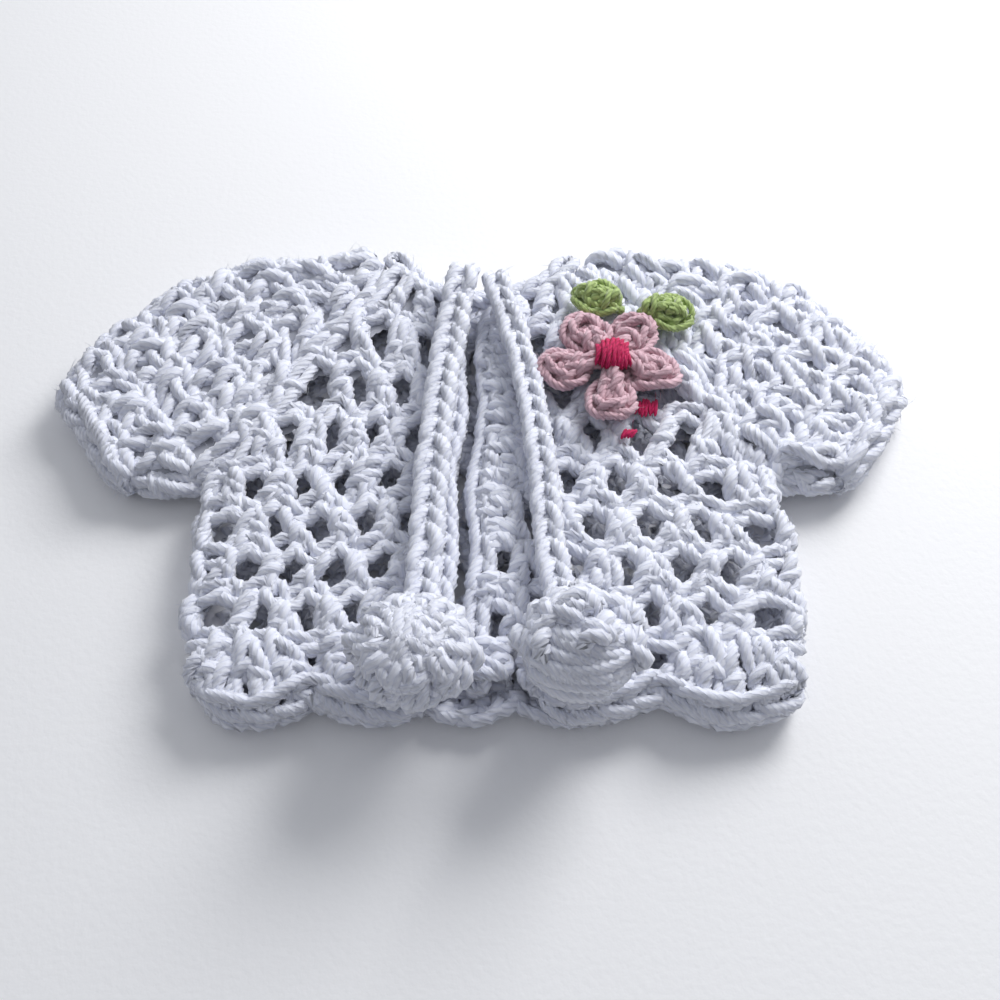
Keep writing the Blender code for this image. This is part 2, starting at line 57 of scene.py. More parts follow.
# the cut of the garment, as its solids have it, for the left half (-1) and the right half (1)
NECK_CORNER = (15.4, 40.8)
SHOULDER = [(17.4, 42.9), (31.0, 42.2), (43.0, 40.2), (51.0, 36.0), (61.6, 24.6), (67.0, 13.5)]
CUFF_LOW = {-1: (53.8, -4.4), 1: (55.6, -3.6)}
ARMPIT = {-1: (40.6, -4.8), 1: (43.7, -4.8)}
HEM_CORNER = {-1: (40.1, -33.0), 1: (45.3, -33.0)}
SIDE_BULGE = 1.0
NECK_FRONT_Y = 31.5
NECK_BACK_Y = 35.2
NECK_SCOOP = 2.4
HEM_Y = -33.0
ROWS = 8
YOKE_ROWS = 4
FRONT_UNITS = {"neck": 1.4, "body": 5}
BACK_UNITS = {"neck": 4.4, "body": 12}
CUT_MARGIN = 0.035
EDGE_MARGIN = 0.012
SEAM_GAP = 0.3
HOLE_WIDE = 0.29
HOLE_TALL = 0.27
HOLE_ROUND = 1.21  # a gap is an oval that reaches this far past those half sizes
ROW_BEND = 0.13
OPENING_TOP_X = -1.1
OPENING_LOW_X = -2.9
OPENING_GAP = 1.0
BAND_WIDTH = {-1: 3.0, 1: 6.0}
BAND_LOW_Y = -40.6
BAR_PITCH = 2.9
BAND_HOLES = [-20.0, -30.0]  # y of the holes in the right band
SLEEVE_ROWS = 7
UNDERARM_ROW = 5.3  # where the chain along the underarm fold begins
UNDERARM_SHARE = 0.74  # where that fold begins, as a share of the sleeve
SIDE_FOLD_ROW = YOKE_ROWS - 0.4  # where the fold along the side begins
SLEEVE_START = 0.045
SLEEVE_END = 0.975
SHELL_EDGES = {1: [4.6, 24.4, 44.7], -1: [-39.6, -22.9, -7.2]}
SHELL_DEPTH = 10.4
SHELL_NOTCH = 7.2
SHELL_POSTS = 7
SHELL_FAN = 68  # degrees to each side of its middle

UNEVEN = 0.42  # how far the stitches stray from an even grid

# the yarn: its plies, how deep the groove between two of them is, and the length of one turn
PLIES = 6
PLY_GROOVE = 0.11
STRAND_SWELL = 0.06
PLY_PITCH = 7.0
THIN_PLIES = 4
THIN_PITCH = 4.6
PLAIN_PLIES = 4
PLAIN_SPACING = 1.35
TEXTURE_SHIFT = 40  # how far apart along the yarn two strands may start
PLY_BUMP = 0.55
PLY_BUMP_DEPTH = 0.00022  # in metres, as the other depths of bumps
FIBRE_SCALE = 7.0
CLOUD_SCALE = 60.0
GRAIN_SCALE = 900.0
GRAIN_BUMP = 0.5
GRAIN_DEPTH = 0.0001
YARN_ROUGHNESS = 0.7
COTTON_SHEEN = 0.4
FLOSS_SHEEN = 0.1
FIBRE_LENGTH = 3.0
FIBRE_RADIUS = 0.04
FLOOR_CLEARANCE = 0.02

# how the stitches are worked: sizes in mm, reach and thick as factors, crossed as a share
HOOK = 0.18  # how far a tall stitch reaches over the row before it, as a share of its height
ROW_CHAIN = {"pitch": 3.8, "wide": 2.8, "reach": 1.6, "thick": 1.04, "jitter": 0.35}
SLEEVE_CHAIN = {"pitch": 4.4, "wide": 2.8, "reach": 1.5, "thick": 1.1, "jitter": 0.35}
SLEEVE_POSTS = {"wide": 2.4, "jitter": 0.4, "crossed": 0.35, "thick": 1.14}
SLEEVE_SPACING = 4.7
SHELL_CHAIN = {"pitch": 3.9, "wide": 3.3, "jitter": 0.4}
NECK_CHAIN = {"pitch": 3.5, "wide": 3.1}
NECK_UNDER_CHAIN = {"pitch": 3.6, "wide": 2.8}
BAND_CHAIN = {"pitch": 3.7, "wide": 2.5}
BAND_UNDER_CHAIN = {"pitch": 3.9, "wide": 2.3}
CUFF_CHAIN = {"pitch": 4.3, "wide": 3.4}
PETAL_CHAIN = {"reach": 1.7, "thick": 0.95, "jitter": 0.2}
LEAF_CHAIN = {"pitch": 2.5, "wide": 2.0, "reach": 1.8, "jitter": 0.25}

# the grid of the cloth inside a panel: columns, and steps in each row
OPEN_GRID = (72, 11)
CLOSE_GRID = (24, 4)

# heights of the middle of each layer, and the fold between them
FRONT_MID = 5.55
BACK_MID = 1.85
FOLD_MID = 3.7
FOLD_WIDE = 3.0

TIE_PITCH = 3.3
TIE_THICK = {-1: 1.08, 1: 0.98}
TIE_WIDE = {-1: 3.5, 1: 3.0}
TIE_ROUTES = {
    -1: [(-2.6, 35.4, 6.4), (-2.6, 35.4, 9.2), (-2.9, 33.6, 11.6), (-3.6, 29.4, 11.6), (-4.8, 20.0, 10.9),
         (-6.1, 8.0, 10.8), (-7.0, -8.0, 10.8), (-7.3, -20.0, 10.8), (-7.6, -31.4, 11.6)],
    1: [(2.2, 35.0, 6.4), (2.2, 34.4, 9.0), (2.4, 32.2, 11.2), (3.3, 27.8, 11.4), (5.9, 18.0, 10.9),
        (8.0, 6.0, 10.8), (9.4, -8.0, 10.8), (10.1, -20.0, 10.8), (11.6, -31.0, 11.6)],
}
BOBBLES = {-1: (-8.3, -38.8), 1: (13.4, -38.4)}
BOBBLE_RADII = (7.6, 7.0, 6.2)
BOBBLE_Z = 14.6
BOBBLE_STRAND = 0.9

FLOWER = (20.6, 14.9)
FLOWER_Z = 8.5
PETALS = [(-94, 7.9), (-19, 6.6), (55, 6.4), (123, 6.9), (192, 7.4)]  # degrees, distance from the middle
PETAL_RINGS = [(2.9, 1.9, 3.2, 2.2), (1.3, 0.9, 2.8, 1.6)]  # radius, height, pitch and width of the chain
MIDDLE_HALF_WIDTH = 2.2
MIDDLE_HALF_LENGTH = 3.1
LEAVES = [(-1.4, 13.6, 154, 2.3), (9.5, 10.7, -14, 2.8)]  # place, turn in degrees, half width
LEAF_TIP = -4.4
LEAF_LENGTH = 8.2
STRAY_STITCHES = [(5.4, -8.0, 7, 1.7, 1.4), (2.4, -13.2, 4, 1.0, 0.9)]  # place, count, half length, turn

# the photograph's view, in mm
CAMERA_ELEVATION = math.radians(55)
CAMERA_DISTANCE = 185.67
CAMERA_AIM = (3.05, -5.35)
CAMERA_LENS = 42.98
CAMERA_SENSOR = 36
CAMERA_NEAR = 0.001

# the floor and the lights, in metres
FLOOR_SIZE = 4
FLOOR_COLOUR = (0.90, 0.90, 0.91)
KEY_PLACE = (0.22, 0.26, 0.26)
KEY_SIZE = 0.22
FILL_PLACE = (-0.05, -0.44, 0.6)
FILL_SIZE = 0.5
SKY_COLOUR = (0.90, 0.93, 1.0)
SKY_FRONT = 0.3  # shares of the surroundings' strength, in front and behind
SKY_BEHIND = 1.7


# Shapes in the plane of the garment

def polyline_at(points, share):
    """Points at those shares of a polyline's length."""
    points = np.asarray(points, float)
    steps = np.linalg.norm(np.diff(points, axis=0), axis=1)
    places = np.concatenate([[0], np.cumsum(steps)]) / steps.sum()
    share = np.asarray(share, float)
    return np.stack([np.interp(share, places, points[:, i]) for i in range(points.shape[1])], axis=-1)


def outer_edge(side, row):
    """The raglan line down to the armpit, then the side down to the hem."""
    row = np.asarray(row, float)
    armpit, corner = ARMPIT[side], HEM_CORNER[side]
    yoke = np.clip(row / YOKE_ROWS, 0, 1)
    body = np.clip((row - YOKE_ROWS) / (ROWS - YOKE_ROWS), 0, 1)
    x = NECK_CORNER[0] + (armpit[0] - NECK_CORNER[0]) * yoke + (corner[0] - armpit[0]) * body
    y = NECK_CORNER[1] + (armpit[1] - NECK_CORNER[1]) * yoke + (corner[1] - armpit[1]) * body
    return x + SIDE_BULGE * np.sin(np.pi * body), y


def uneven(points):
    """The unevenness of hand work: points moved a little in the plane, alike in every piece."""
    x, y = points[..., 0], points[..., 1]
    shift_x = UNEVEN * np.sin(y / 3.9 + 1.3 * np.sin(x / 8.5))
    shift_y = UNEVEN * np.sin(x / 3.3 + 1.2 * np.sin(y / 7.5 + 1.0))
    return points + np.stack([shift_x, shift_y, 0 * x], axis=-1)


def opening_x(y):
    return OPENING_TOP_X + (OPENING_LOW_X - OPENING_TOP_X) * (NECK_FRONT_Y - y) / (NECK_FRONT_Y - HEM_Y)


def fold_height(distance, layer):
    """The height of the middle of a layer (1 is the front, -1 the back) near a fold that is so far away."""
    near = np.clip(distance / FOLD_WIDE, 0, 1)
    return FOLD_MID + layer * (FRONT_MID - FOLD_MID) * np.sqrt(1 - (1 - near) ** 2)


def fold_lean(distance):
    """How far the surface leans over near a fold, from 0 to 1."""
    return np.clip(1 - distance / FOLD_WIDE, 0, 1)


def paired(across, row):
    """Both as arrays of one shape."""
    return np.broadcast_arrays(np.asarray(across, float), np.asarray(row, float))


def units_at(units, row):
    """How many units of stitches a panel is wide at that place: the yoke widens down to the armpit."""
    yoke = np.clip(np.asarray(row, float) / YOKE_ROWS, 0, 1)
    return units["neck"] + (units["body"] - units["neck"]) * yoke


class Front:
    """One front: across is 0 at the band and 1 at the raglan or side, row counts from the neck.

    As in the other panels, ends and gaps are in units of stitches, across turns units into shares of the
    width, place is a point in the middle of the cloth, and up is the way out of it.
    """

    def __init__(self, side):
        self.side = side

    def ends(self, row):
        """The first and last unit of a row."""
        return 0.0, float(units_at(FRONT_UNITS, row))

    def gaps(self, row):
        """Where a row's gaps lie, in units. Every second row is shifted by half a unit."""
        first = 0.5 if row % 2 else 1.0
        return first + np.arange(int(units_at(FRONT_UNITS, row + 0.5) - first + 0.5))

    def across(self, unit_place, row):
        share = CUT_MARGIN + (1 - 2 * CUT_MARGIN) * unit_place / units_at(FRONT_UNITS, row)
        return np.clip(share, EDGE_MARGIN, 1 - EDGE_MARGIN)

    def fold_distance(self, x, row):
        """How far a place is from the fold along the side."""
        return np.where(row > SIDE_FOLD_ROW, outer_edge(self.side, row)[0] - self.side * x, FOLD_WIDE)

    def place(self, across, row):
        across, row = paired(across, row)
        y_in = NECK_FRONT_Y + (HEM_Y - NECK_FRONT_Y) * row / ROWS
        x_in = opening_x(y_in) + self.side * (OPENING_GAP / 2 + BAND_WIDTH[self.side] + SEAM_GAP)
        x_out, y_out = outer_edge(self.side, row)
        scoop = NECK_SCOOP * np.sin(np.pi * across) * np.clip(1 - row, 0, 1)
        x = x_in + (self.side * x_out - x_in) * across
        y = y_in + (y_out - y_in) * across - scoop
        return np.stack([x, y, fold_height(self.fold_distance(x, row), 1)], axis=-1)

    def up(self, across, row):
        across, row = paired(across, row)
        lean = fold_lean(self.fold_distance(self.place(across, row)[..., 0], row))
        return unit(np.stack([self.side * lean, 0 * lean, 1 - lean], axis=-1))


class Back:
    """The back: across runs from -1 at one side to 1 at the other."""

    def ends(self, row):
        half = float(units_at(BACK_UNITS, row)) / 2
        return -half, half

    def gaps(self, row):
        first = 0.0 if row % 2 else 0.5
        reach = units_at(BACK_UNITS, row + 0.5) / 2 - 0.5
        right = first + np.arange(int(reach - first) + 1)
        return np.concatenate([-right[right > 0][::-1], right])

    def across(self, unit_place, row):
        share = (1 - CUT_MARGIN) * 2 * unit_place / units_at(BACK_UNITS, row)
        return np.clip(share, EDGE_MARGIN - 1, 1 - EDGE_MARGIN)

    def edge(self, across, row):
        left, right = outer_edge(-1, row), outer_edge(1, row)
        return np.where(across > 0, right[0], left[0]), np.where(across > 0, right[1], left[1])

    def fold_distance(self, across, row):
        """How far a place is from the fold along the side."""
        return np.where(row > SIDE_FOLD_ROW, self.edge(across, row)[0] * (1 - np.abs(across)), FOLD_WIDE)

    def place(self, across, row):
        across, row = paired(across, row)
        y_in = NECK_BACK_Y + (HEM_Y - NECK_BACK_Y) * row / ROWS
        x_out, y_out = self.edge(across, row)
        y = y_in + (y_out - y_in) * across ** 2
        return np.stack([across * x_out, y, fold_height(self.fold_distance(across, row), -1)], axis=-1)

    def up(self, across, row):
        across, row = paired(across, row)
        lean = fold_lean(self.fold_distance(across, row))
        return unit(np.stack([np.sign(across) * lean, 0 * lean, lean - 1], axis=-1))


class Sleeve:
    """One layer of a sleeve: across is 0 at the raglan or underarm and 1 at the shoulder fold."""

    def __init__(self, side, layer):
        self.side = side
        self.layer = layer

    def ends(self, row):
        share = SLEEVE_START + (SLEEVE_END - SLEEVE_START) * np.asarray(row, float) / SLEEVE_ROWS
        low = polyline_at([NECK_CORNER, ARMPIT[self.side], CUFF_LOW[self.side]], share)
        return low, polyline_at(SHOULDER, share), share

    def distance(self, across, row):
        """How far a place is from the nearer fold, and whether that is the one along the shoulder."""
        low, high, share = self.ends(row)
        wide = np.linalg.norm(high - low, axis=-1)
        from_low = np.where(share > UNDERARM_SHARE, across * wide, FOLD_WIDE)
        return np.minimum((1 - across) * wide, from_low), (1 - across) * wide < from_low

    def place(self, across, row):
        across, row = paired(across, row)
        low, high, _ = self.ends(row)
        point = low + (high - low) * (0.02 + 0.98 * across[..., None])
        height = fold_height(self.distance(across, row)[0], self.layer)
        return np.stack([self.side * point[..., 0], point[..., 1], height], axis=-1)

    def up(self, across, row):
        across, row = paired(across, row)
        low, high, _ = self.ends(row)
        distance, at_high = self.distance(across, row)
        lean = fold_lean(distance)
        out = unit(high - low) * np.where(at_high, 1, -1)[..., None] * lean[..., None]
        return unit(np.stack([self.side * out[..., 0], out[..., 1], self.layer * (1 - lean)], axis=-1))


def unit(vectors):
    return vectors / np.maximum(np.linalg.norm(vectors, axis=-1, keepdims=True), 1e-9)


def smooth_route(points, count):
    """A smooth curve through the points (a Catmull-Rom curve), as that many points."""
    points = np.asarray(points, float)
    ends = np.vstack([2 * points[0] - points[1], points, 2 * points[-1] - points[-2]])
    place = np.linspace(0, len(points) - 1, count)
    k = np.minimum(place.astype(int), len(points) - 2)
    f = (place - k)[:, None]
    a, b, c, d = ends[k], ends[k + 1], ends[k + 2], ends[k + 3]
    bend = (2 * a - 5 * b + 4 * c - d) * f ** 2 + (3 * b - 3 * c + d - a) * f ** 3
    return 0.5 * (2 * b + (c - a) * f + bend)


# Yarn

def offset(start, *moves):
    """A line of points for each start, which lie off it by amounts along its own directions."""
    points = start[:, None]
    for direction, amount in moves:
        points = points + direction[:, None] * amount[..., None]
    return points


def strand_frames(lines, closed):
    """Two directions across each strand at each of its points, which turn as little as they can along it."""
    if closed:
        tangent = unit(np.roll(lines, -1, axis=1) - np.roll(lines, 1, axis=1))
    else:
        tangent = unit(np.gradient(lines, axis=1))

    def straightened(direction, i):
        return unit(direction - (direction * tangent[:, i]).sum(-1, keepdims=True) * tangent[:, i])

    points = lines.shape[1]
    helper = np.where(np.abs(tangent[:, :1, 2:]) > 0.9, [1.0, 0, 0], [0, 0, 1.0])[:, 0]
    normal = np.empty_like(lines)
    current = unit(np.cross(tangent[:, 0], helper))
    for i in range(points):
        current = straightened(current, i)
        normal[:, i] = current
    side = np.cross(tangent, normal)
    if closed:
        last = straightened(current, 0)
        turn = np.arctan2((last * side[:, 0]).sum(-1), (last * normal[:, 0]).sum(-1))
        angle = -turn[:, None] * np.arange(points) / points
        cos, sin = np.cos(angle)[..., None], np.sin(angle)[..., None]
        normal, side = normal * cos + side * sin, side * cos - normal * sin
    return normal, side


class Yarn:
    """Strands of yarn for one piece, swept as plied tubes and made into one mesh.

    A strand has two corners for each ply, a low one and a high one, that turn along it.
    """

    def __init__(self, radius, plies, groove, pitch, spacing, seed, even=False):
        self.radius = radius
        self.sides = 2 * plies
        self.groove = groove
        self.pitch = pitch
        self.spacing = spacing
        self.even = even
        self.random = np.random.default_rng(seed)
        self.corners = []
        self.faces = []
        self.uvs = []
        self.count = 0
        self.lines = []

    def sweep(self, lines, closed, thick=1.0, taper=True):
        """Adds a tube along each line. lines is an array of (line, point, xyz)."""
        lines = np.asarray(lines, float)
        if not len(lines):
            return
        self.lines.append(lines)
        number, points = lines.shape[:2]
        normal, side = strand_frames(lines, closed)
        radius = self.radius * thick * self.random.uniform(0.93, 1.08, (number, 1)) * np.ones((1, points))
        phase = 2 * np.pi * (self.random.random((number, 1)) + np.arange(points) * 2 / points)
        radius *= 1 + STRAND_SWELL * np.sin(phase)
        if not closed and taper:
            end = np.minimum(np.arange(points), np.arange(points)[::-1])
            radius *= np.clip(np.sqrt((end + 0.15) / 1.4), 0, 1)
        along = np.linalg.norm(np.diff(lines, axis=1, append=lines[:, :1]), axis=2)
        length = np.concatenate([np.zeros((number, 1)), np.cumsum(along, axis=1)], axis=1)
        total = length[:, -1:] if closed else length[:, -2:-1]
        turns = np.maximum(1, np.round(total / self.pitch)) if closed else total / self.pitch
        twist = 2 * np.pi * (turns * length[:, :points] / total + self.random.random((number, 1)))
        turn = np.arange(self.sides) / self.sides * 2 * np.pi + twist[..., None]
        ring = np.cos(turn)[..., None] * normal[:, :, None] + np.sin(turn)[..., None] * side[:, :, None]
        groove = np.where(np.arange(self.sides) % 2, 1.0 + self.groove / 3, 1.0 - self.groove)
        corners = lines[:, :, None] + ring * (radius[..., None] * groove)[..., None]
        rings = points if closed else points - 1
        first = np.arange(number)[:, None, None] * points * self.sides
        i = np.arange(rings)[None, :, None]
        j = np.arange(self.sides)[None, None, :]
        i2, j2 = (i + 1) % points, (j + 1) % self.sides
        quads = np.stack([first + i * self.sides + j, first + i2 * self.sides + j,
                          first + i2 * self.sides + j2, first + i * self.sides + j2], axis=-1)
        shift = self.random.random((number, 1, 1))
        u = np.broadcast_to(j / self.sides, quads.shape[:-1])
        step = 1 / self.sides
        v0 = np.broadcast_to(length[:, :rings, None], quads.shape[:-1]) + shift * TEXTURE_SHIFT
        v1 = np.broadcast_to(length[:, 1:rings + 1, None], quads.shape[:-1]) + shift * TEXTURE_SHIFT
        uvs = np.stack([np.stack([u, v0], -1), np.stack([u, v1], -1),
                        np.stack([u + step, v1], -1), np.stack([u + step, v0], -1)], axis=-2)
        self.corners.append(corners.reshape(-1, 3))
        self.faces.append(quads.reshape(-1, 4) + self.count)
        self.uvs.append(uvs.reshape(-1, 2))
        self.count += number * points * self.sides

    def points_for(self, length):
        """How many points a strand of that length needs."""
        return max(8, int(round(length / self.spacing)))

    def posts(self, low, high, up, wide=1.8, jitter=0.3, crossed=0.75, thick=1.06):
        """A tall stitch from each low point to each high one.

        It is a loop that hooks over the row before and another that ends under the row after. A share of the
        stitches have a strand that crosses them too.
        """
        low, high, up = (np.asarray(a, float) for a in (low, high, up))
        number = len(low)
        draw = self.random
        low = low + draw.normal(0, jitter, (number, 3)) * [1, 1, 0.5]
        high = high + draw.normal(0, jitter, (number, 3)) * [1, 1, 0.5]
        run = high - low
        tall = np.linalg.norm(run, axis=1)
        axis = unit(run)
        across = unit(np.cross(axis, up))
        out = np.cross(across, axis)
        wide = wide * draw.uniform(0.7, 1.35, (number, 1))
        way = np.where(draw.random((number, 1)) < 0.7, 1, -1)
        # v runs along the stitch, u across it and h out of the cloth
        for start, end, slant, rise in ((-HOOK, 0.64, 0.75, 0.5), (0.34, 1.04, -0.65, 0.0)):
            size = (end - start) * tall.mean()
            a = np.linspace(0, 2 * np.pi, self.points_for(2 * size + 3), endpoint=False)
            first = start + draw.normal(0, 0.03, (number, 1))
            last = end + draw.normal(0, 0.03, (number, 1))
            v = (first + (last - first) * (0.5 - 0.5 * np.cos(a))[None, :]) * tall[:, None]
            spread = np.sign(np.sin(a)) * np.abs(np.sin(a)) ** 0.7
            twist = (way * slant + draw.normal(0, 0.3, (number, 1))) * (1 + 1.2 * np.cos(a))[None, :]
            u0 = wide / 2 * spread[None, :] * draw.uniform(0.85, 1.2, (number, 1))
            u0 = u0 + draw.normal(0, 0.25, (number, 1)) * np.cos(a)[None, :]
            h0 = (1.3 * np.abs(np.sin(a)) ** 0.8 - 0.45 + rise * (0.5 + 0.5 * np.cos(a)))[None, :]
            u = u0 * np.cos(twist)
            h = h0 + u0 * np.sin(twist) * 0.8
            self.sweep(offset(low, (axis, v), (across, u), (out, h)), True, thick)
        a = np.linspace(-1, 1, self.points_for(6.5))
        long = draw.uniform(0.9, 2.5, (number, 1)) * way
        u = (wide / 2 + 0.6) * np.sin(a * 1.4)[None, :]
        v = draw.uniform(0.36, 0.64, (number, 1)) * tall[:, None] + long * a[None, :]
        h = (2.2 * np.cos(a * 1.5) ** 0.8 - 0.6)[None, :] * np.ones((number, 1))
        strands = offset(low, (axis, v), (across, u), (out, h))
        self.sweep(strands[draw.random(number) < crossed], False, 0.97)

    def chain(self, path, up, pitch, wide, reach=1.75, thick=1.0, closed=False, jitter=0.12, backed=False):
        """A crocheted chain along a path: each loop comes out of the one before it."""
        path = np.asarray(path, float)
        up = np.broadcast_to(np.asarray(up, float), path.shape)
        if closed:
            path, up = np.vstack([path, path[:1]]), np.vstack([up, up[:1]])
        steps = np.linalg.norm(np.diff(path, axis=0), axis=1)
        places = np.concatenate([[0], np.cumsum(steps)])
        total = places[-1]

        def at(spots, values):
            return np.stack([np.interp(spots, places, values[:, i]) for i in range(3)], axis=-1)

        number = max(2, int(round(total / pitch)))
        starts = (np.arange(number) + 0.35) * total / number
        long = reach * total / number
        a = np.linspace(0, 2 * np.pi, self.points_for(2 * long + wide), endpoint=False)
        share = 0.5 - 0.5 * np.cos(a)
        opened = 0.42 + 0.58 * np.sin(np.clip(share * 1.35, 0, 1) * np.pi / 2)
        width = wide / 2 * self.random.uniform(0.9, 1.12, (number, 1))
        v = width * (np.sign(np.sin(a)) * np.abs(np.sin(a)) ** 0.75 * opened)[None, :]
        sunk = 1.15 * np.clip((share - 0.6) / 0.4, 0, 1) ** 1.3 + 0.7 * np.clip((0.18 - share) / 0.18, 0, 1)
        along = starts[:, None] + (share - 0.5)[None, :] * long
        along = along + self.random.normal(0, jitter, (number, 1))
        along = along % total if closed else np.clip(along, -1, total + 1)
        run = unit(at(np.clip(along + 0.4, 0, total), path) - at(np.clip(along - 0.4, 0, total), path))
        across = unit(np.cross(run, unit(at(along, up))))
        out = np.cross(across, run)
        tilt = self.random.normal(0, 0.16, (number, 1))
        v, h = v * np.cos(tilt), (0.42 - sunk)[None, :] * thick + v * np.sin(tilt)
        self.sweep(at(along, path) + across * v[..., None] + out * h[..., None], True, thick)
        if backed:
            spots = np.linspace(0, total, self.points_for(total))
            core = at(spots, path) - unit(at(spots, up)) * 0.75
            self.sweep(core[None], False, thick * 1.05, taper=False)

    def fuzz(self, number):
        """Loose fibres that stand off the strands."""
        if not number or not self.lines:
            return
        spots = np.concatenate([lines.reshape(-1, 3) for lines in self.lines])
        spots = spots[self.random.integers(0, len(spots), number)]
        out = unit(self.random.normal(0, 1, (number, 3)) + [0, 0, 0.5])
        side = unit(np.cross(out, self.random.normal(0, 1, (number, 3))))
        t = np.linspace(0, 1, 5)[None, :, None]
        size = self.random.uniform(0.5, 1.2, (number, 1, 1)) * FIBRE_LENGTH
        start = spots[:, None] + out[:, None] * self.radius * 0.8
        bend = self.random.uniform(-0.5, 0.5, (number, 1, 1))
        lines = start + side[:, None] * size * (t - 0.3) + out[:, None] * size * 0.35 * (t - 1.4 * t ** 2) \
            + np.cross(out, side)[:, None] * bend * size * t ** 2
        lines[..., 2] = np.maximum(lines[..., 2], 0.1)
        self.sides = 3
        self.sweep(lines, False, FIBRE_RADIUS / self.radius)

    def make(self, name, material):
        """The mesh of all the strands, which keeps clear of the floor."""
        corners = np.concatenate(self.corners)
        corners = corners if self.even else uneven(corners)
        corners[:, 2] = np.maximum(corners[:, 2], FLOOR_CLEARANCE)
        corners[:, 1] -= CENTRE_Y
        faces = np.concatenate(self.faces)
        mesh = bpy.data.meshes.new(name)
        mesh.vertices.add(len(corners))
        mesh.vertices.foreach_set("co", (corners * MM).astype(np.float32).ravel())
        mesh.loops.add(faces.size)
        mesh.loops.foreach_set("vertex_index", faces.astype(np.int32).ravel())
        mesh.polygons.add(len(faces))
        mesh.polygons.foreach_set("loop_start", np.arange(0, faces.size, 4, dtype=np.int32))
        mesh.update(calc_edges=True)
        layer = mesh.uv_layers.new(name="yarn")
        layer.data.foreach_set("uv", np.concatenate(self.uvs).astype(np.float32).ravel())
        mesh.shade_smooth()
        mesh.materials.append(material)
        obj = bpy.data.objects.new(name, mesh)
        bpy.context.scene.collection.objects.link(obj)
        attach(obj, "root")
        return obj


# Materials

def noise_node(tree, scale, detail, vector):
    noise = tree.nodes.new("ShaderNodeTexNoise")
    noise.inputs["Scale"].default_value = scale
    noise.inputs["Detail"].default_value = detail
    tree.links.new(vector, noise.inputs["Vector"])
    return noise.outputs["Fac"]


def add_bump(tree, height, strength, depth):
    """Fine relief on the material, up to a depth in metres."""
    bump = tree.nodes.new("ShaderNodeBump")
    bump.inputs["Strength"].default_value = strength
    bump.inputs["Distance"].default_value = depth
    tree.links.new(height, bump.inputs["Height"])
    tree.links.new(bump.outputs[0], tree.nodes["Principled BSDF"].inputs["Normal"])


def yarn_material(name, colour, shade, plies, sheen):
    """Plied cotton: twisted plies and fine fibres, which follow the strand's own coordinates, with painted
    shade in the grooves between the plies.
    """
    material = bpy.data.materials.new(name)
    material.use_nodes = True
    tree = material.node_tree
    shader = tree.nodes["Principled BSDF"]
    shader.inputs["Roughness"].default_value = YARN_ROUGHNESS
    shader.inputs["Sheen Weight"].default_value = sheen
    shader.inputs["Sheen Roughness"].default_value = 0.5
    shader.inputs["Specular IOR Level"].default_value = 0.35

    def math_node(operation, a, b=None):
        made = tree.nodes.new("ShaderNodeMath")
        made.operation = operation
        for socket, value in zip(made.inputs, (a, b)):
            if value is None:
                continue
            if isinstance(value, (int, float)):
                socket.default_value = value
            else:
                tree.links.new(value, socket)
        return made.outputs[0]

    coordinates = tree.nodes.new("ShaderNodeUVMap")
    coordinates.uv_map = "yarn"
    split = tree.nodes.new("ShaderNodeSeparateXYZ")
    tree.links.new(coordinates.outputs[0], split.inputs[0])
    turn = split.outputs[0]
    ply = math_node("ABSOLUTE", math_node("SINE", math_node("MULTIPLY", turn, math.pi * plies)))
    ply = math_node("POWER", ply, 0.8)
    angle = math_node("MULTIPLY", turn, 2 * math.pi)
    round_about = tree.nodes.new("ShaderNodeCombineXYZ")
    tree.links.new(math_node("COSINE", angle), round_about.inputs[0])
    tree.links.new(math_node("SINE", angle), round_about.inputs[1])
    tree.links.new(math_node("MULTIPLY", split.outputs[1], 0.16), round_about.inputs[2])
    fibre = noise_node(tree, FIBRE_SCALE, 3.0, round_about.outputs[0])
    cloud = noise_node(tree, CLOUD_SCALE, 2.0, tree.nodes.new("ShaderNodeTexCoord").outputs["Object"])
    add_bump(tree, math_node("ADD", ply, math_node("MULTIPLY", fibre, 0.7)), PLY_BUMP, PLY_BUMP_DEPTH)
    # painted shade: the colour mixes towards the shade colour in the grooves between plies; random fibre
    # streaks and patches of tone shift the mix too
    mixer = tree.nodes.new("ShaderNodeMix")
    mixer.data_type = "RGBA"
    mixer.inputs["A"].default_value = (*shade, 1)
    mixer.inputs["B"].default_value = (*colour, 1)
    streak = math_node("MULTIPLY", math_node("SUBTRACT", fibre, 0.5), 1.1)
    patch = math_node("MULTIPLY", cloud, 0.35)
    share = math_node("ADD", math_node("MULTIPLY", ply, 0.6), patch)
    share = math_node("ADD", math_node("ADD", share, 0.16), streak)
    clean = tree.nodes.new("ShaderNodeClamp")
    tree.links.new(share, clean.inputs[0])
    tree.links.new(clean.outputs[0], mixer.inputs["Factor"])
    tree.links.new(mixer.outputs["Result"], shader.inputs["Base Color"])
    return material


def plain_material(name, colour, roughness):
    """One colour with a fine grain."""
    material = bpy.data.materials.new(name)
    material.use_nodes = True
    tree = material.node_tree
    shader = tree.nodes["Principled BSDF"]
    shader.inputs["Base Color"].default_value = (*colour, 1)
    shader.inputs["Roughness"].default_value = roughness
    grain = noise_node(tree, GRAIN_SCALE, 2.0, tree.nodes.new("ShaderNodeTexCoord").outputs["Object"])
    add_bump(tree, grain, GRAIN_BUMP, GRAIN_DEPTH)
    return material


def looks():
    """The colours and lights set in the panel."""
    return bpy.context.scene.cardigan_looks


def sizes():
    """The sizes set in the panel."""
    return bpy.context.scene.cardigan_sizes


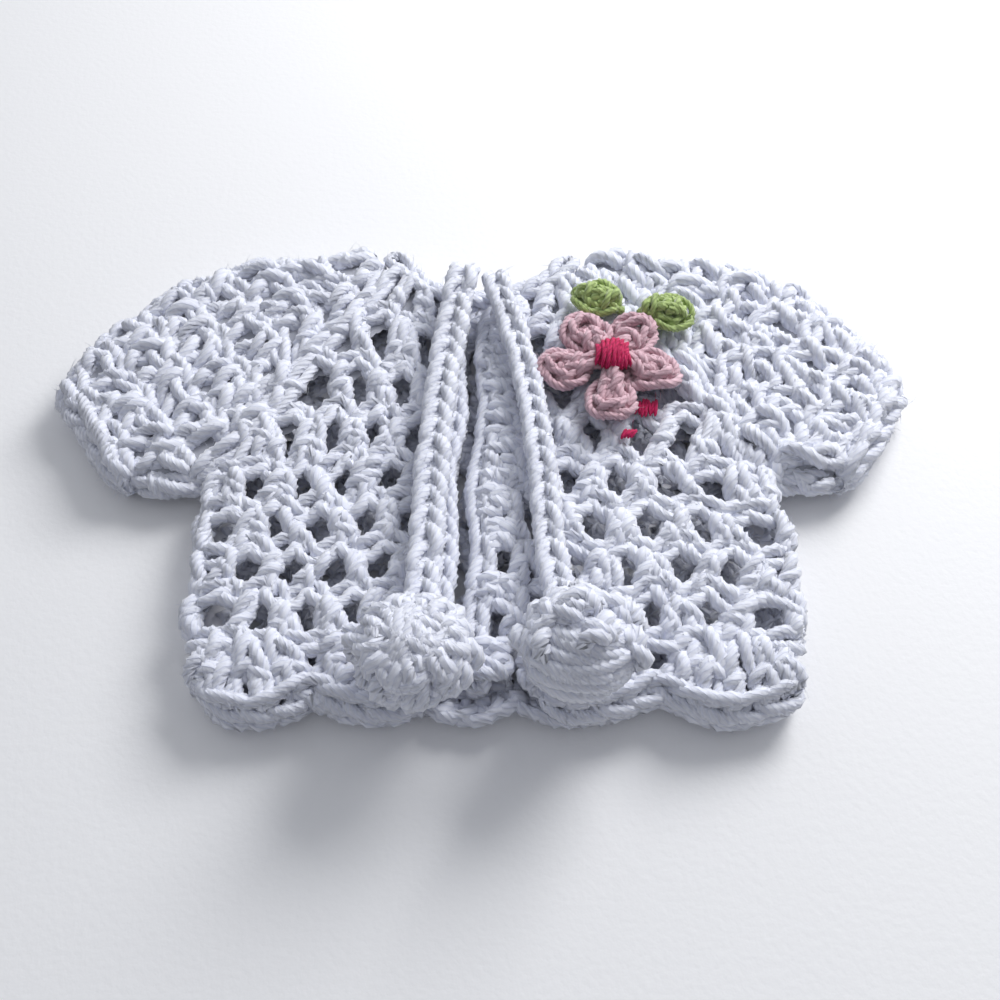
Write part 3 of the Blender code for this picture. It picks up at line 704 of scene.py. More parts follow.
def material(slot):
    """The material of one of the slots, made once."""
    found = bpy.data.materials.get("look_" + slot)
    if found:
        return found
    look = looks()
    # each kind: its own colour, the painted shade between its plies, its number of plies and its sheen
    kinds = {
        "white_cotton": (look.white, look.white_painted_shade, PLIES, COTTON_SHEEN),
        "pink_cotton": (look.pink, look.pink_painted_shade, THIN_PLIES, COTTON_SHEEN),
        "green_cotton": (look.green, look.green_painted_shade, THIN_PLIES, COTTON_SHEEN),
        "crimson_floss": (look.crimson, look.crimson_painted_shade, THIN_PLIES, FLOSS_SHEEN),
    }
    return yarn_material("look_" + slot, *kinds[slot])


def new_yarn(seed, fine=True, thick=1.0, plies=PLIES, pitch=PLY_PITCH, spacing=0.8, even=False):
    """The cardigan's yarn, thinner or thicker by a factor. Hidden sides are worked less finely."""
    size = sizes()
    radius = size.yarn_radius / MM * thick
    if fine:
        return Yarn(radius, plies, PLY_GROOVE, pitch, spacing, seed + size.seed, even)
    return Yarn(radius, PLAIN_PLIES, 0.0, pitch, PLAIN_SPACING, seed + size.seed, even)


def finish_yarn(yarn, name, slot, nodes, fuzz=0):
    """Makes the piece, with loose fibres. It takes the place of those solids."""
    yarn.fuzz(int(fuzz * sizes().fuzz))
    obj = yarn.make(name, material(slot))
    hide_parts(*nodes)
    return obj


# The pieces

def row_wave(panel, places, row):
    """How far the line below a row bends: down at the gaps of this row, up at those of the next."""
    bend = 0.0 * places
    for step, sign in ((0, 1), (1, -1)):
        if 1 <= row + step < ROWS:
            for gap in panel.gaps(row + step):
                uneven_bend = ROW_BEND * (1 + 0.6 * math.sin(7.3 * gap + 2.9 * (row + step)))
                bend = bend + sign * uneven_bend * np.exp(-((places - gap) / 0.3) ** 2)
    return bend if row < ROWS - 1 else 0.25 * bend


def row_groups(panel, row):
    """Where the groups of tall stitches stand in a row, in units: between its gaps and at its two ends."""
    first, last = panel.ends(row + 0.5)
    if row == 0:
        number = max(3, int(round(2.2 * (last - first))))
        return np.linspace(first, last, number)
    gaps = panel.gaps(row)
    spots = [first, *((gaps[:-1] + gaps[1:]) / 2), last]
    if gaps[0] - first > 0.8:
        spots.insert(1, gaps[0] - 0.5)
    if last - gaps[-1] > 0.8:
        spots.insert(-1, gaps[-1] + 0.5)
    return np.array(spots)


def row_stitches(panel, row, draw):
    """Where the tall stitches of a row begin and end: most groups are two that fan out, and some are one."""
    bases, tops = [], []
    groups = row_groups(panel, row)
    for number, spot in enumerate(groups):
        kind = draw.random()
        shift = draw.normal(0, 0.09)
        splay = draw.uniform(0.1, 0.28)
        if number in (0, len(groups) - 1):
            widening = (panel.ends(row + 1)[number > 0] - panel.ends(row)[number > 0]) / 2
            bases.append(spot - widening)
            tops.append(spot + widening)
        elif row and kind < 0.75:
            bases += [spot + shift - 0.05, spot + shift + 0.05]
            tops += [spot - shift - splay, spot - shift + splay]
        else:
            lean = draw.uniform(-0.24, 0.24)
            bases.append(spot - lean)
            tops.append(spot + lean)
    return np.array(bases), np.array(tops)


def openwork(yarn, panel):
    """Rows of tall stitches, with gaps between their groups, and a bent chain along each row."""
    for row in range(ROWS):
        bases, tops = row_stitches(panel, row, yarn.random)
        above = row + 0.1 + (row_wave(panel, bases, row - 1) if row else 0.0)
        below = row + 0.9 + row_wave(panel, tops, row)
        low = panel.place(panel.across(bases, above), above)
        high = panel.place(panel.across(tops, below), below)
        middle = panel.up(panel.across((bases + tops) / 2, row + 0.5), row + 0.5)
        yarn.posts(low, high, middle, wide=1.4)
        first, last = panel.ends(row + 1)
        places = np.linspace(first, last, 100)
        line = row + 1 + row_wave(panel, places, row)
        across = panel.across(places, line)
        ups = panel.up(across, line)
        yarn.chain(panel.place(across, line) + ups * 0.5, ups, **ROW_CHAIN)


def dense_rows(yarn, panel):
    """Close rows of tall stitches that run to the cuff, with a raised chain of loops along each row."""
    for row in range(SLEEVE_ROWS):
        low, high = panel.place(0.0, row + 0.5), panel.place(1.0, row + 0.5)
        count = max(2, int(round(np.linalg.norm(high - low) / SLEEVE_SPACING)))
        spots = (np.arange(count) + (0.3 if row % 2 else 0.7)) / count
        lean = yarn.random.uniform(-0.35, 0.35, count) / count
        bases, tops = np.clip(spots - lean, 0.01, 0.99), np.clip(spots + lean, 0.01, 0.99)
        ups = panel.up(spots, row + 0.5)
        sunk = ups * yarn.random.uniform(0.1, 0.8, (count, 1))
        yarn.posts(panel.place(bases, row + 0.08) - sunk, panel.place(tops, row + 0.9) - sunk, ups,
                   **SLEEVE_POSTS)
        line = np.linspace(0, 1, 60)
        ups = panel.up(line, row + 1.0)
        wave = 0.1 * np.sin(2 * np.pi * (line * count / 2 + yarn.random.random()))
        yarn.chain(panel.place(line, row + 1.0 + wave) + ups * 0.35, ups, **SLEEVE_CHAIN)


def fold_posts(yarn, panel, across):
    """Tall stitches that lie on a sleeve's fold or seam, seen from outside."""
    row = np.arange(SLEEVE_ROWS)
    yarn.posts(panel.place(across, row + 0.1), panel.place(across, row + 0.95), panel.up(across, row + 0.5))


def gap_loops(panel, grow):
    """The gaps of an openwork panel, as loops of (across, row)."""
    angle = 2 * np.pi * np.arange(12) / 12
    loops = []
    for row in range(1, ROWS):
        for gap in panel.gaps(row):
            rows = row + 0.5 + HOLE_ROUND * HOLE_TALL * grow * np.sin(angle)
            places = gap + HOLE_ROUND * HOLE_WIDE * grow * np.cos(angle)
            loops.append((panel.across(places, rows), rows))
    return loops


def inner_cloth(name, panel, low, high, rows, gaps, far=False):
    """The thin middle of a panel, inside its stitches, with its gaps open."""
    columns, steps = OPEN_GRID if gaps else CLOSE_GRID
    steps *= rows
    across = np.linspace(low + 0.01, high - 0.01, columns)
    row = np.linspace(0.03, rows - 0.03, steps)
    grid_a, grid_r = np.meshgrid(across, row, indexing="ij")
    keep = np.ones((columns - 1, steps - 1), bool)
    mid_a, mid_r = (grid_a[1:, 1:] + grid_a[:-1, :-1]) / 2, (grid_r[1:, 1:] + grid_r[:-1, :-1]) / 2
    for loop_a, loop_r in gaps:
        middle_a, middle_r = loop_a.mean(), loop_r.mean()
        reach_a, reach_r = np.ptp(loop_a) / 2, np.ptp(loop_r) / 2
        keep &= ((mid_a - middle_a) / reach_a) ** 2 + ((mid_r - middle_r) / reach_r) ** 2 > 1
        from_a, from_r = (grid_a - middle_a) / reach_a, (grid_r - middle_r) / reach_r
        off = np.hypot(from_a, from_r)
        inside = (off > 0.4) & (off < 1)
        grid_a = np.where(inside, middle_a + from_a / np.maximum(off, 0.4) * reach_a, grid_a)
        grid_r = np.where(inside, middle_r + from_r / np.maximum(off, 0.4) * reach_r, grid_r)
    points = uneven(panel.place(grid_a, grid_r).reshape(-1, 3))
    points[:, 1] -= CENTRE_Y
    i, j = np.nonzero(keep)
    first, second = i * steps + j, (i + 1) * steps + j
    faces = np.stack([first, second, second + 1, first + 1], axis=1)
    used, faces = np.unique(faces, return_inverse=True)
    mesh = bpy.data.meshes.new(name)
    mesh.from_pydata((points[used] * MM).tolist(), [], faces.reshape(-1, 4).tolist())
    mesh.shade_smooth()
    # the cloth takes the grey painted shade colour, or the paler far colour in the back
    mesh.materials.append(cloth_material(far))
    obj = bpy.data.objects.new(name, mesh)
    bpy.context.scene.collection.objects.link(obj)
    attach(obj, "root")
    return obj


def cloth_material(far):
    """Cotton inside the stitches: painted shade, a grey cloth colour, between them, and paler where it is
    seen through the gaps.
    """
    name, colour = ("look_far_cotton", looks().far) if far else ("look_inner_painted_shade", looks().inner)
    return bpy.data.materials.get(name) or plain_material(name, colour, 0.9)


def declare_cloth(obj):
    """Works out the bounds of the cloth inside a panel and its area, kept between 0.3 of its bounding
    rectangle and all of it; nothing is done with them.
    """
    low = Vector(min(c[i] for c in obj.bound_box) for i in range(3))
    high = Vector(max(c[i] for c in obj.bound_box) for i in range(3))
    wide, long = high.x - low.x, high.y - low.y
    area = sum(face.area for face in obj.data.polygons)
    area = min(max(area, 0.3 * wide * long), wide * long)


def shell_depth(share):
    """How far below the last row a shell reaches, at a share of its width."""
    return SHELL_NOTCH + (SHELL_DEPTH - SHELL_NOTCH) * np.sin(np.pi * share) ** 0.7


def shell_fans(yarn, edges, mid, layer):
    """The hem's shells: stitches that fan out from one place, and a chain of loops along the scallops."""
    outline = []
    for start, end in zip(edges, edges[1:]):
        middle = (start + end) / 2
        angle = np.radians(np.linspace(-SHELL_FAN, SHELL_FAN, SHELL_POSTS))
        flat, spread = 0 * angle, (end - start) * np.sin(angle)
        depth = shell_depth(0.5 + 0.5 * np.sin(angle))
        top = np.stack([middle + 0.43 * spread, HEM_Y - depth + 1.9, flat + mid], -1)
        base = np.stack([middle + 0.3 * spread, HEM_Y - 0.5 + flat, flat + mid], -1)
        yarn.posts(base, top, np.tile([0, 0, layer], (len(top), 1)), wide=2.0, jitter=0.4)
        share = np.linspace(0.02, 0.98, 14)
        scallop = HEM_Y - shell_depth(share) + 1.3
        outline.append(np.stack([start + (end - start) * share, scallop, 0 * share + mid], -1))
    path = np.vstack(outline)[1:-1]
    yarn.chain(path, unit(np.array([0, -0.75, 0.65 * layer])), **SHELL_CHAIN)


def ball(centre, radii, azimuth, tilt, shift, half_angle, count=24):
    """Arcs over an ellipsoid: each lies in a plane that is turned, tilted and shifted from the middle."""
    azimuth, tilt, shift, half_angle = np.broadcast_arrays(azimuth, tilt, shift, half_angle)
    t = np.linspace(-1, 1, count)[None, :] * half_angle[:, None]
    ring = np.sqrt(1 - shift[:, None] ** 2)
    local = np.stack([ring * np.sin(t), np.broadcast_to(shift[:, None], t.shape), ring * np.cos(t)], -1)
    ct, st = np.cos(tilt)[:, None], np.sin(tilt)[:, None]
    local = np.stack([local[..., 0], local[..., 1] * ct - local[..., 2] * st,
                      local[..., 1] * st + local[..., 2] * ct], -1)
    ca, sa = np.cos(azimuth)[:, None], np.sin(azimuth)[:, None]
    local = np.stack([local[..., 0] * ca - local[..., 1] * sa, local[..., 0] * sa + local[..., 1] * ca,
                      local[..., 2]], -1)
    return np.asarray(centre) + local * np.asarray(radii)


class CARDIGAN_OT_camera(bpy.types.Operator):
    """Adds the camera at the photograph's angle"""

    bl_idname = "cardigan.camera"
    bl_label = "Camera"

    def execute(self, context):
        x, y = CAMERA_AIM
        back = CAMERA_DISTANCE * math.cos(CAMERA_ELEVATION)
        rise = CAMERA_DISTANCE * math.sin(CAMERA_ELEVATION)
        bpy.ops.object.camera_add(location=(x * MM, (y - back) * MM, rise * MM),
                                  rotation=(math.pi / 2 - CAMERA_ELEVATION, 0, 0))
        camera = context.object
        camera.name = "camera"
        camera.data.lens = CAMERA_LENS
        camera.data.sensor_width = CAMERA_SENSOR
        camera.data.clip_start = CAMERA_NEAR
        context.scene.camera = camera
        return {"FINISHED"}


class CARDIGAN_OT_ties(bpy.types.Operator):
    """Works the two ends of the neck tie as crocheted chains, with a bobble on each"""

    bl_idname = "cardigan.ties"
    bl_label = "Ties and bobbles"

    def execute(self, context):
        for side, word in ((-1, "left"), (1, "right")):
            bobble = self.bobble(side, word)
            route = smooth_route(TIE_ROUTES[side], 120)
            run = unit(np.gradient(route, axis=0))
            lift = np.array([0, 0.12, 1.0])
            up = unit(lift - run * (run @ lift)[:, None])
            yarn = new_yarn(10 + side, thick=TIE_THICK[side], even=True)
            yarn.chain(route - up * 0.2, up, TIE_PITCH, TIE_WIDE[side], backed=True)
            tie = finish_yarn(yarn, f"tie_{word}_chain", "white_cotton", [f"tie_{word}"], 260)
        return {"FINISHED"}

    def bobble(self, side, word):
        """The ball of yarn at a tie's end, over two layers of wraps that fill it."""
        x, y = BOBBLES[side]
        centre = np.array([x, y, BOBBLE_Z])
        radii = np.array(BOBBLE_RADII) - BOBBLE_STRAND
        yarn = new_yarn(20 + side, even=True)
        draw = yarn.random
        whole, count = np.pi * 0.98, 14
        yarn.sweep(ball(centre, radii * 0.72, np.linspace(0, np.pi, 9), 0.0, 0.0, whole), False, 1.5)
        yarn.sweep(ball(centre, radii * 0.86, np.linspace(0.2, np.pi, count), draw.normal(0, 0.3, count),
                        draw.uniform(-0.4, 0.4, count), whole), False, 1.3)
        work = self.wind if side > 0 else self.crochet
        work(yarn, centre, radii)
        return finish_yarn(yarn, f"bobble_{word}_yarn", "white_cotton", [f"bobble_{word}"], 400)

    def wind(self, yarn, centre, radii):
        """Yarn wound round the ball, with four strands raised over it and a cap of stitches behind."""
        draw, count, caps = yarn.random, 16, 14
        wraps = np.linspace(-0.85, 0.92, count)
        yarn.sweep(ball(centre, radii, draw.normal(-0.1, 0.3, count), 1.15 + draw.normal(0, 0.2, count),
                        np.clip(wraps + draw.normal(0, 0.06, count), -0.95, 0.95),
                        1.9 + draw.normal(0, 0.2, count), 36), False)
        yarn.sweep(ball(centre, radii * 1.06, np.array([-0.35, -0.1, -0.3, 0.1]),
                        1.15 + draw.normal(0, 0.12, 4), np.array([-0.45, -0.2, 0.05, 0.3]),
                        np.array([0.9, 1.1, 0.8, 1.0]), 30), False, 0.95)
        turn = draw.uniform(-0.5, np.pi + 0.5, caps)
        level = draw.uniform(0.15, 0.95, caps)
        belt = np.sqrt(1 - level ** 2)
        spot = np.stack([belt * np.cos(turn), belt * np.sin(turn), level], -1)
        reach = unit(np.cross(spot, draw.normal(0, 1, (caps, 3)))) * 0.36
        yarn.posts(centre + radii * (spot - reach), centre + radii * (spot + reach), spot, wide=2.0)

    def crochet(self, yarn, centre, radii):
        """Two tiers of tall stitches round the ball, with strands that lie over them."""
        draw, count, strands = yarn.random, 15, 12
        around = np.linspace(0, 2 * np.pi, count, endpoint=False)
        for tier, reach in ((0.35, 0.95), (-0.35, 0.9)):
            turn = around + draw.normal(0, 0.05, count) + tier
            low = self.belt(centre, radii, turn, tier - 0.42, reach)
            high = self.belt(centre, radii, turn, tier + 0.42, reach)
            yarn.posts(low, high, unit((low + high) / 2 - centre), wide=2.2)
        yarn.sweep(ball(centre, radii * 0.99, draw.uniform(0, np.pi, strands), draw.normal(0, 0.25, strands),
                        draw.uniform(-0.45, 0.45, strands), 1.0, 24), False)

    def belt(self, centre, radii, turn, level, reach):
        """Points round the ball at one level."""
        wide = math.sqrt(max(0.05, 1 - (level * 0.98) ** 2)) * reach
        return centre + radii * np.stack([wide * np.cos(turn), wide * np.sin(turn), 0 * turn + level], -1)


class CARDIGAN_OT_fronts(bpy.types.Operator):
    """Works the openwork of the two fronts, their hem shells and bands"""

    bl_idname = "cardigan.fronts"
    bl_label = "Fronts"

    def execute(self, context):
        for side, word in ((-1, "left"), (1, "right")):
            panel = Front(side)
            yarn = new_yarn(30 + side)
            openwork(yarn, panel)
            stitches = finish_yarn(yarn, f"front_{word}_stitches", "white_cotton", [f"front_{word}"], 700)
            cloth = inner_cloth(f"front_{word}_cloth", panel, 0.0, 1.0, ROWS, gap_loops(panel, 1.2))
            declare_cloth(cloth)
            hem = new_yarn(40 + side)
            shell_fans(hem, SHELL_EDGES[side], FRONT_MID - 0.2, 1)
            finish_yarn(hem, f"hem_{word}_stitches", "white_cotton", [f"hem_shells_{word}"], 300)
            self.band(side, word)
        return {"FINISHED"}

    def band(self, side, word):
        """A chain along the opening, another below it and, on the right, short bars beside them."""
        yarn = new_yarn(50 + side)
        y = np.linspace(NECK_FRONT_Y, BAND_LOW_Y + 1, 60)
        x = opening_x(y) + side * (OPENING_GAP / 2 + 2.3)
        z = FRONT_MID + 0.7 - 1.2 * np.clip((HEM_Y - y) / 8, 0, 1)
        path = np.stack([x + 0.25 * np.sin(y / 6), y, z], -1)
        up = np.tile(unit(np.array([-side * 0.25, 0, 1.0])), (60, 1))
        yarn.chain(path, up, backed=True, **BAND_CHAIN)
        path[:, 2] -= 2.0
        yarn.chain(path, -up, **BAND_UNDER_CHAIN)
        if side > 0:
            bars = np.arange(NECK_FRONT_Y - 2.5, BAND_LOW_Y + 1, -BAR_PITCH)
            bars = bars + yarn.random.normal(0, 0.3, len(bars))
            bars = np.array([at for at in bars if all(abs(at - hole) > 1.8 for hole in BAND_HOLES)])
            start = opening_x(bars) + OPENING_GAP / 2 + 3.0
            mid = FRONT_MID + 0.4 - 1.2 * np.clip((HEM_Y - bars) / 8, 0, 1)
            low = np.stack([start, bars, mid], -1)
            high = np.stack([start + 4.0, bars + yarn.random.normal(0, 0.7, len(bars)), mid], -1)
            yarn.posts(low, high, np.tile([0, 0, 1.0], (len(bars), 1)), wide=1.5, jitter=0.3)
        finish_yarn(yarn, f"band_{word}_stitches", "white_cotton", [f"front_band_{word}"], 350)


class CARDIGAN_OT_sleeves(bpy.types.Operator):
    """Works the dense rows of the two sleeves, both layers, and their cuffs"""

    bl_idname = "cardigan.sleeves"
    bl_label = "Sleeves"

    def execute(self, context):
        for side, word in ((-1, "left"), (1, "right")):
            upper, lower = Sleeve(side, 1), Sleeve(side, -1)
            yarn = new_yarn(60 + side)
            dense_rows(yarn, upper)
            for across in (0.0, 1.0):
                fold_posts(yarn, upper, across)
            rows = np.linspace(UNDERARM_ROW, SLEEVE_ROWS - 0.1, 16)
            yarn.chain(upper.place(0.0, rows), (0, -0.6, 0.8), 3.6, 2.8)
            top = finish_yarn(yarn, f"sleeve_{word}_stitches", "white_cotton", [f"sleeve_{word}_upper"], 700)
            yarn = new_yarn(70 + side, fine=False)
            dense_rows(yarn, lower)
            below = finish_yarn(yarn, f"sleeve_{word}_under_stitches", "white_cotton",
                                [f"sleeve_{word}_under"])
            for layer, panel, stitches in (("upper", upper, top), ("under", lower, below)):
                cloth = inner_cloth(f"sleeve_{word}_{layer}_cloth", panel, 0.0, 1.0, SLEEVE_ROWS, [])
                declare_cloth(cloth)
            self.cuff(side, word)
        return {"FINISHED"}

    def cuff(self, side, word):
        """A thick chain along the end of the sleeve, on the upper and the under layer."""
        yarn = new_yarn(80 + side, thick=1.1)
        low, high, _ = Sleeve(side, 1).ends(SLEEVE_ROWS)
        run = unit(high - low)
        out = np.array([run[1], -run[0]])
        for layer, mid in ((1, FRONT_MID - 0.1), (-1, BACK_MID + 0.1)):
            t = np.linspace(-0.02, 1.0, 30)[:, None]
            place = low + (high - low) * t + out * 1.7
            ends = np.abs(t[:, 0] * 2 - 1) ** 6
            path = np.stack([side * place[:, 0], place[:, 1], mid + (FOLD_MID - mid) * ends], -1)
            up = unit(np.tile([side * out[0] * 0.8, out[1] * 0.8, 0.75 * layer], (30, 1)))
            yarn.chain(path, up, backed=True, **CUFF_CHAIN)
        finish_yarn(yarn, f"cuff_{word}_stitches", "white_cotton", [f"cuff_edging_{word}"], 300)


class CARDIGAN_OT_back(bpy.types.Operator):
    """Works the openwork of the back, its hem shells and the neck edging"""

    bl_idname = "cardigan.back"
    bl_label = "Back and neck"

    def execute(self, context):
        panel = Back()
        yarn = new_yarn(90, fine=False)
        openwork(yarn, panel)
        stitches = finish_yarn(yarn, "back_stitches", "white_cotton", ["back_panel"])
        cloth = inner_cloth("back_cloth", panel, -1.0, 1.0, ROWS, gap_loops(panel, 1.1), far=True)
        declare_cloth(cloth)
        hem = new_yarn(91, fine=False)
        shell_fans(hem, SHELL_EDGES[-1] + SHELL_EDGES[1], BACK_MID, -1)
        finish_yarn(hem, "hem_back_stitches", "white_cotton", ["hem_shells_back"], 200)
        neck = new_yarn(92)
        for side in (-1, 1):
            front = Front(side).place(np.linspace(0.0, 1.0, 14), 0.0) + [0, 1.2, 0.6]
            neck.chain(front, (0, 0.5, 1), **NECK_CHAIN)
            neck.chain(front - [0, 0.6, 2.2], (0, 1, -0.3), **NECK_UNDER_CHAIN)
        back = Back().place(np.linspace(-1.0, 1.0, 20), 0.0) + [0, 1.2, 0.3]
        neck.chain(back, (0, 0.5, 1), backed=True, **NECK_CHAIN)
        finish_yarn(neck, "neck_edging_stitches", "white_cotton", ["neck_edging"], 300)
        return {"FINISHED"}


class CARDIGAN_OT_flower(bpy.types.Operator):
    """Works the flower's petals, its satin-stitched middle and the leaves"""

    bl_idname = "cardigan.flower"
    bl_label = "Flower and leaves"

    def execute(self, context):
        petals = new_yarn(100, thick=0.72, plies=THIN_PLIES, pitch=THIN_PITCH, spacing=0.5, even=True)
        for degrees, distance in PETALS:
            self.petal(petals, math.radians(degrees), distance)
        solids = [f"petal_{i + 1}" for i in range(len(PETALS))]
        finish_yarn(petals, "flower_petals", "pink_cotton", solids, 260)
        middle = new_yarn(101, thick=0.31, plies=THIN_PLIES, pitch=THIN_PITCH, spacing=0.4, even=True)
        self.satin_stitches(middle)
        self.stray_stitches(middle)
        finish_yarn(middle, "flower_middle_stitches", "crimson_floss", ["flower_middle"], 30)
        leaves = new_yarn(102, thick=0.62, plies=THIN_PLIES, pitch=THIN_PITCH, spacing=0.5, even=True)
        for dx, dy, turn, wide in LEAVES:
            self.leaf(leaves, FLOWER[0] + dx, FLOWER[1] + dy, math.radians(turn), wide)
        finish_yarn(leaves, "leaf_stitches", "green_cotton", ["leaf_1", "leaf_2"], 120)
        return {"FINISHED"}

    def satin_stitches(self, yarn):
        """The flower's middle: two layers of strands that lie side by side over it."""
        count = 13
        x = np.linspace(-MIDDLE_HALF_WIDTH, MIDDLE_HALF_WIDTH, count)[:, None]
        x = x + yarn.random.normal(0, 0.08, (count, 1))
        t = np.linspace(-1, 1, 14)[None, :]
        round_off = np.sqrt(1 - 0.6 * (x / MIDDLE_HALF_WIDTH) ** 2)
        slant = 0.35 * np.where(np.arange(count) % 2, 1, -1)[:, None] + 0.35
        for drop, shift, way in ((0.0, 0.0, 1), (0.3, 0.25, -1)):
            strands = np.stack([
                FLOWER[0] + x + shift + way * slant * t,
                FLOWER[1] - 0.3 + MIDDLE_HALF_LENGTH * round_off * t,
                FLOWER_Z + 3.2 - drop + 1.9 * np.sqrt(1 - 0.95 * t ** 2) * round_off,
            ], -1)
            yarn.sweep(strands, False, 1.1)

    def petal(self, yarn, angle, distance):
        """A petal: a chain round its rim, which curls up, another inside it and two tall stitches."""
        draw = yarn.random
        out = np.array([math.cos(angle), math.sin(angle), 0])
        side = np.array([-out[1], out[0], 0])
        centre = np.array([FLOWER[0], FLOWER[1], FLOWER_Z]) + out * distance
        a = np.linspace(0, 2 * np.pi, 48, endpoint=False) + draw.uniform(0, 6)
        for radius, height, pitch, wide in PETAL_RINGS:
            wobble = 1 + 0.08 * np.sin(3 * a + draw.uniform(0, 6))
            ring = centre + out * (1.06 * radius * wobble * np.cos(a))[:, None] \
                + side * (0.9 * radius * wobble * np.sin(a))[:, None]
            ring[:, 2] += height + 0.5 * np.cos(a) + 0.3 * np.sin(2 * a + draw.uniform(0, 6))
            up = unit(np.array([0, 0, 1.0]) + 0.5 * (ring - centre) / radius * [1, 1, 0])
            yarn.chain(ring, up, pitch, wide, closed=True, **PETAL_CHAIN)
        root = np.array([FLOWER[0], FLOWER[1], FLOWER_Z + 1.9]) + out * 2.6
        for turn in (-0.6, 0.6):
            tip = centre + out * 0.8 + side * 1.6 * turn + [0, 0, 1.5]
            low = root + side * turn
            yarn.posts(low[None], tip[None], np.array([[0, 0, 1.0]]), wide=1.1, jitter=0.15)

    def stray_stitches(self, yarn):
        """Short stitches on the cloth beside the flower."""
        t = np.linspace(-1, 1, 9)
        for dx, dy, count, long, turn in STRAY_STITCHES:
            for i in range(count):
                lean = turn + yarn.random.normal(0, 0.15)
                size = long * yarn.random.uniform(0.7, 1.1)
                x = FLOWER[0] + dx + (i - count / 2) * 0.5 + math.cos(lean) * t * size
                y = FLOWER[1] + dy + math.sin(lean) * t * size
                yarn.sweep(np.stack([x, y, FLOWER_Z - 0.2 + 0.4 * (1 - t ** 2)], -1)[None], False)

    def leaf(self, yarn, x, y, turn, wide):
        """A leaf: a chain up each side, from its narrow tip to its broad end, and loops between."""
        out = np.array([math.cos(turn), math.sin(turn), 0])
        side = np.array([-out[1], out[0], 0])
        centre = np.array([x, y, FLOWER_Z])
        t = np.linspace(0, 1, 30)
        for way in (-1, 1):
            bulge = np.sin(np.pi * t ** 1.3) ** 0.8
            path = centre + out * (LEAF_TIP + LEAF_LENGTH * t)[:, None]
            path = path + side * (way * wide * bulge)[:, None]
            path[:, 2] += 1.3 + 0.5 * np.sin(np.pi * t) + 0.25 * way * np.sin(3 * np.pi * t)
            up = unit(np.array([0, 0, 1.0]) + 0.5 * way * side)
            yarn.chain(path, up, backed=True, **LEAF_CHAIN)
        at = np.array([-2.0, 0.0, 1.9])
        low = centre + out * (at - 0.9)[:, None] - side * 0.9 + [0, 0, 1.9]
        high = centre + out * (at + 0.9)[:, None] + side * 1.1 + [0, 0, 2.1]
        yarn.posts(low, high, np.tile([0, 0, 1.0], (3, 1)), wide=1.3, jitter=0.2)


class CARDIGAN_OT_stage(bpy.types.Operator):
    """Adds a plain pale floor and soft studio lights"""

    bl_idname = "cardigan.stage"
    bl_label = "Stage"

    def execute(self, context):
        bpy.ops.mesh.primitive_plane_add(size=FLOOR_SIZE, location=(0, 0, 0))
        floor = context.object
        floor.name = "floor"
        floor.data.materials.append(plain_material("look_floor", FLOOR_COLOUR, 0.85))
        look = looks()
        for name, place, size, power in (
            ("key", KEY_PLACE, KEY_SIZE, look.key_power),
            ("fill", FILL_PLACE, FILL_SIZE, look.fill_power),
        ):
            bpy.ops.object.light_add(type="AREA", location=place)
            light = context.object
            light.name = name
            light.data.size = size
            light.data.energy = power
            light.rotation_euler = (-Vector(place)).to_track_quat("-Z", "Y").to_euler()
        world = bpy.data.worlds.new("studio")
        world.use_nodes = True
        tree = world.node_tree
        background = tree.nodes["Background"]
        background.inputs["Color"].default_value = (*SKY_COLOUR, 1)
        direction = tree.nodes.new("ShaderNodeTexCoord")
        split = tree.nodes.new("ShaderNodeSeparateXYZ")
        level = tree.nodes.new("ShaderNodeMapRange")
        level.inputs["From Min"].default_value = -1
        level.inputs["To Min"].default_value = look.world_strength * SKY_FRONT
        level.inputs["To Max"].default_value = look.world_strength * SKY_BEHIND
        tree.links.new(direction.outputs["Generated"], split.inputs[0])
        tree.links.new(split.outputs["Y"], level.inputs["Value"])
        tree.links.new(level.outputs[0], background.inputs["Strength"])
        context.scene.world = world
        context.scene.view_settings.view_transform = "Standard"
        return {"FINISHED"}


class CardiganSizes(bpy.types.PropertyGroup):
    """Sizes of the yarn"""

    yarn_radius: FloatProperty(name="Yarn radius", description="Half of the thickness of the white yarn",
                               default=0.00101, min=0.0003, max=0.003, precision=5, unit="LENGTH",
                               subtype="DISTANCE")
    fuzz: FloatProperty(name="Fuzz", description="How many loose fibres stand off the yarn, from 0 to 2",
                        default=1.0, min=0.0, max=2.0, subtype="FACTOR")
    seed: IntProperty(name="Seed", description="Another number makes other small irregularities",
                      default=0, min=0, max=1000)


